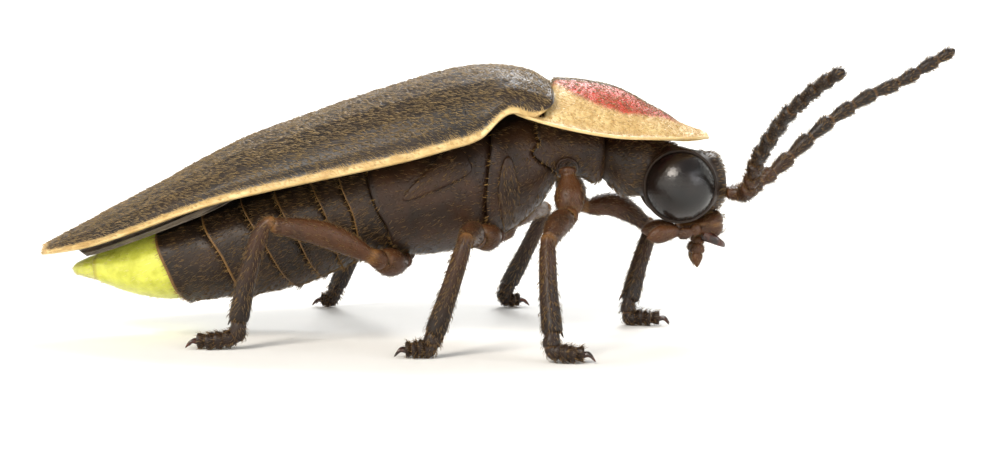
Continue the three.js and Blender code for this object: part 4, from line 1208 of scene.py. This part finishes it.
def read(data, key, width, kind=np.float32):
    values = np.empty(len(data) * width, dtype=kind)
    data.foreach_get(key, values)
    return values.reshape(-1, width) if width > 1 else values


def rooted(growth, chance, cell):
    """The hairs of one bed: seven points each, with the tone and the place on the baking map."""
    mesh = growth["skin"].data
    mesh.calc_loop_triangles()
    corners = read(mesh.loop_triangles, "vertices", 3, np.int32)
    spots = read(mesh.vertices, "co", 3)[corners].astype(float)
    wrap = np.stack([read(mesh.attributes[name].data, "value", 1)[corners] for name in SKIN_MARKS], axis=2)
    wrap = wrap.astype(float)
    across_seam = np.ptp(wrap[:, :, 1], axis=1) > 0.5
    wrap[:, :, 1] += across_seam[:, None] * (wrap[:, :, 1] < 0.5)
    first, second = spots[:, 1] - spots[:, 0], spots[:, 2] - spots[:, 0]
    normal = np.cross(first, second)
    area = np.linalg.norm(normal, axis=1)
    normal = unit(normal)
    slope = (wrap[:, 1, 0] - wrap[:, 0, 0])[:, None] * np.cross(normal, -second)
    slope += (wrap[:, 2, 0] - wrap[:, 0, 0])[:, None] * np.cross(normal, first)
    middle = wrap.mean(axis=1)
    (low_u, high_u), (low_v, high_v) = growth["reach"], growth["ring"]
    usable = (middle[:, 0] > low_u) & (middle[:, 0] < high_u)
    usable &= (middle[:, 1] > low_v) & (middle[:, 1] < high_v)
    usable &= (area > 1e-12) & (np.linalg.norm(slope, axis=1) > 1e-14)
    if growth["keep"]:
        usable &= growth["keep"](spots.mean(axis=1) / MM)
    share = np.where(usable, area, 0.0)
    pick = chance.choice(len(share), growth["count"], p=share / share.sum())
    blend = chance.dirichlet((1, 1, 1), len(pick))[:, :, None]
    root = (spots[pick] * blend).sum(axis=1)
    place = (wrap[pick] * blend).sum(axis=1)
    up = normal[pick]
    along = unit(slope[pick] * growth["lie"])
    sway = chance.normal(0, HAIR_SWAY, len(pick))[:, None]
    side = unit(np.cross(up, along))
    along = unit(along + side * sway)
    side = np.cross(up, along)
    long = growth["length"] * MM * chance.uniform(*LENGTH_SPREAD, len(pick))[:, None]
    lift = (math.radians(growth["slope"]) * chance.uniform(*SLOPE_SPREAD, len(pick)))[:, None]
    reach = np.cos(lift) * long
    height = np.sin(lift) * long
    girth = growth["width"] * MM * chance.uniform(*WIDTH_SPREAD, len(pick))[:, None] / 2
    foot = root - up * girth * 2
    bend = root + along * reach * 0.5 + up * height * BEND_HEIGHT
    tip = root + along * reach + up * height * TIP_HEIGHT
    for ring in (foot, bend, tip):
        ring[:, 2] = np.maximum(ring[:, 2], HAIR_CLEARANCE)
    points = [foot + (side * math.cos(a) + up * math.sin(a)) * girth for a in RING_ANGLES]
    points += [bend + (side * math.cos(a) + up * math.sin(a)) * girth * BEND_GIRTH for a in RING_ANGLES]
    points.append(tip)
    tone = chance.uniform(*DARK_TONES, len(pick))
    if growth["pale"]:
        mark, dark_at, pale_at = growth["pale"]
        value = (read(mesh.attributes[mark].data, "value", 1)[corners][pick] * blend[:, :, 0]).sum(axis=1)
        paleness = np.clip((value - dark_at) / (pale_at - dark_at), 0, 1)
        tone = np.maximum(tone, paleness * chance.uniform(*PALE_TONES, len(pick)))
    corner = np.array((cell % ATLAS_SIDE, cell // ATLAS_SIDE)) / ATLAS_SIDE
    patch = corner + (CELL_MARGIN + CELL_ROOM * (place % 1.0)) / ATLAS_SIDE
    return np.stack(points, axis=1), tone, patch


def coat(name, material, slot, *beds):
    """One piece of coat from several beds of hair."""
    chance = np.random.default_rng(len(name) * 101 + len(beds))
    grown = [rooted(growth, chance, cell % ATLAS_SIDE ** 2) for cell, growth in enumerate(beds)]
    points = np.concatenate([hairs for hairs, tone, patch in grown])
    tones = np.concatenate([tone for hairs, tone, patch in grown])
    patches = np.concatenate([patch for hairs, tone, patch in grown])
    starts = np.arange(len(points)) * len(PATCH_CORNERS)
    faces = []
    for shape in HAIR_FACES:
        faces += (starts[:, None] + np.array(shape)).tolist()
    mesh = bpy.data.meshes.new(name)
    mesh.from_pydata(points.reshape(-1, 3).tolist(), [], faces)
    tone_mark = mesh.attributes.new("tone", "FLOAT", "POINT")
    tone_mark.data.foreach_set("value", np.repeat(tones, len(PATCH_CORNERS)))
    corners = read(mesh.loops, "vertex_index", 1, np.int32)
    uv = (patches[:, None, :] + PATCH_CORNERS).reshape(-1, 2)[corners]
    mesh.uv_layers.new(name="OFBake").data.foreach_set("uv", uv.ravel())
    piece(mesh, name, material, slot)


OUTER_CASE = (0.0, CASE_ARC_STEPS / (len(CASE_LOOP) - 1))
OUTER_SHIELD = (0.0, SHIELD_STEPS / (len(SHIELD_LOOP) - 1))
OPEN_TRUNK = {"reach": (0.1, 0.8), "ring": (0.12, 0.88)}
for side, skin in zip(("right", "left"), case_skins):
    coat("coat_case_" + side, CASE_DOWN, "wing_case",
         bed(skin, 15000, 0.17, 0.016, 13, (0.004, 0.996), OUTER_CASE, -1, ("rim", 0.36, 0.24)))
coat("coat_shield", CASE_DOWN, "shield",
     bed(shield_skin, 7000, 0.14, 0.015, 16, (0.02, 0.97), OUTER_SHIELD, -1, ("disc", 0.6, 0.35)))
coat("coat_body", BODY_DOWN, "body",
     *[bed(plate, 1500, 0.18, 0.016, 17, **OPEN_TRUNK, pale=("edge", 0.3, 1.0)) for plate in plates[2:]],
     *[bed(plate, 220, 0.17, 0.016, 20, (0.1, 0.9), (0.0, 0.5), -1) for plate in flanks])
coat("coat_lantern", PALE_DOWN, "lantern",
     *[bed(plate, 350, 0.15, 0.014, 16, **OPEN_TRUNK) for plate in plates[:2]])


def off_the_eye(spots):
    return np.hypot(spots[:, 0] - EYE_CENTRE.x, spots[:, 2] - EYE_CENTRE.z) > EYE_RADIUS + 0.16


coat("coat_head", BODY_DOWN, "body",
     bed(head_skin, 2400, 0.15, 0.016, 26, (0.12, 0.97), keep=off_the_eye))
coat("coat_mouth", BODY_DOWN, "limb",
     bed(mouth_skin, 220, 0.18, 0.017, 35, (0.3, 0.97)),
     *[bed(skin, 260, 0.12, 0.014, 28, (0.06, 0.97)) for skin in palp_skins])
coat("coat_feelers", BODY_DOWN, "limb",
     *[bed(skin, 2400, 0.13, 0.018, 34, (0.01, 0.99)) for skin in feeler_skins])
coat("coat_legs", BODY_DOWN, "limb",
     *[bed(skin, 480, 0.13, 0.015, 22, (0.06, 0.97)) for skin in leg_skins["hip"]],
     *[bed(skin, 720, 0.15, 0.016, 22, (0.03, 0.96)) for skin in leg_skins["thigh"]],
     *[bed(skin, 650, 0.18, 0.017, 25, (0.06, 0.95)) for skin in leg_skins["shin"]],
     *[bed(skin, 420, 0.15, 0.017, 30, (0.08, 0.96)) for skin in leg_skins["foot"]])


# Floor, light and camera
CAMERA_TARGET = Vector((-0.4, 0, 3.155)) * MM
CAMERA_DISTANCE = 0.06
CAMERA_ELEVATION = math.radians(5)
CAMERA_LENS = 72
BOWL_RADIUS = 0.8
BOWL_BEND = 0.45
BOWL_HEIGHT = 0.6


def floor():
    """A seamless paper floor that bends up into a wall all round."""
    # Matt studio paper: white with a faint mottle
    finish = Finish("matt studio paper")
    place = finish.add("TexCoord", out="Object")
    mottle = finish.add("TexNoise", {"Vector": place, "Scale": per_metre(4), "Detail": 2.0})
    paper = finish.add("ValToRGB", {"Fac": mottle}, stops=((0.3, "#e6e6e4"), (0.7, "#ebebe9")))
    finish.surface(Base_Color=paper, Roughness=0.9)
    bm = bmesh.new()
    centre = bm.verts.new((0, 0, 0))
    edge = bm.verts.new((BOWL_RADIUS - BOWL_BEND, 0, 0))
    bm.edges.new((centre, edge))
    bend_centre = (BOWL_RADIUS - BOWL_BEND, 0, BOWL_BEND)
    bmesh.ops.spin(bm, geom=[edge], cent=bend_centre, axis=(0, -1, 0), angle=math.pi / 2, steps=24)
    bm.verts.ensure_lookup_table()
    top = max(bm.verts, key=lambda vert: vert.co.z)
    rim = bm.verts.new((BOWL_RADIUS, 0, BOWL_HEIGHT))
    bm.edges.new((top, rim))
    bmesh.ops.spin(bm, geom=[*bm.verts, *bm.edges], cent=(0, 0, 0), axis=(0, 0, 1), angle=TURN, steps=72,
                   use_merge=True)
    bmesh.ops.remove_doubles(bm, verts=bm.verts, dist=1e-5)
    bmesh.ops.recalc_face_normals(bm, faces=bm.faces)
    bmesh.ops.reverse_faces(bm, faces=bm.faces)
    mesh = bpy.data.meshes.new("floor")
    bm.to_mesh(mesh)
    bm.free()
    shown(mesh, "floor", finish.material)


def area_light(name, spot, size, power, code):
    light = bpy.data.lights.new(name, "AREA")
    light.size = size
    light.energy = power
    light.color = colour(code)[:3]
    lamp = bpy.data.objects.new(name, light)
    lamp.location = spot
    lamp.rotation_euler = (CAMERA_TARGET - Vector(spot)).to_track_quat("-Z", "Y").to_euler()
    bpy.context.scene.collection.objects.link(lamp)


def camera():
    data = bpy.data.cameras.new("camera")
    data.lens = CAMERA_LENS
    data.clip_start = 0.001
    data.clip_end = 20
    eye = bpy.data.objects.new("camera", data)
    back = Vector((0, -math.cos(CAMERA_ELEVATION), math.sin(CAMERA_ELEVATION)))
    eye.location = CAMERA_TARGET + back * CAMERA_DISTANCE
    eye.rotation_euler = (-back).to_track_quat("-Z", "Y").to_euler()
    bpy.context.scene.collection.objects.link(eye)
    bpy.context.scene.camera = eye


floor()
area_light("key", (-0.32, -0.5, 0.55), 0.3, 6.4, "#fff6ea")
area_light("fill", (0.5, -0.35, 0.25), 0.4, 1.6, "#f2f6ff")
area_light("rim", (0.1, 0.5, 0.5), 0.3, 4.5, "#ffffff")
world = bpy.data.worlds.new("studio air")
bpy.context.scene.world = world
world.use_nodes = True
world.node_tree.nodes["Background"].inputs["Color"].default_value = colour("#f4f6f8")
world.node_tree.nodes["Background"].inputs["Strength"].default_value = 0.4
bpy.context.scene.view_settings.view_transform = "Standard"
camera()
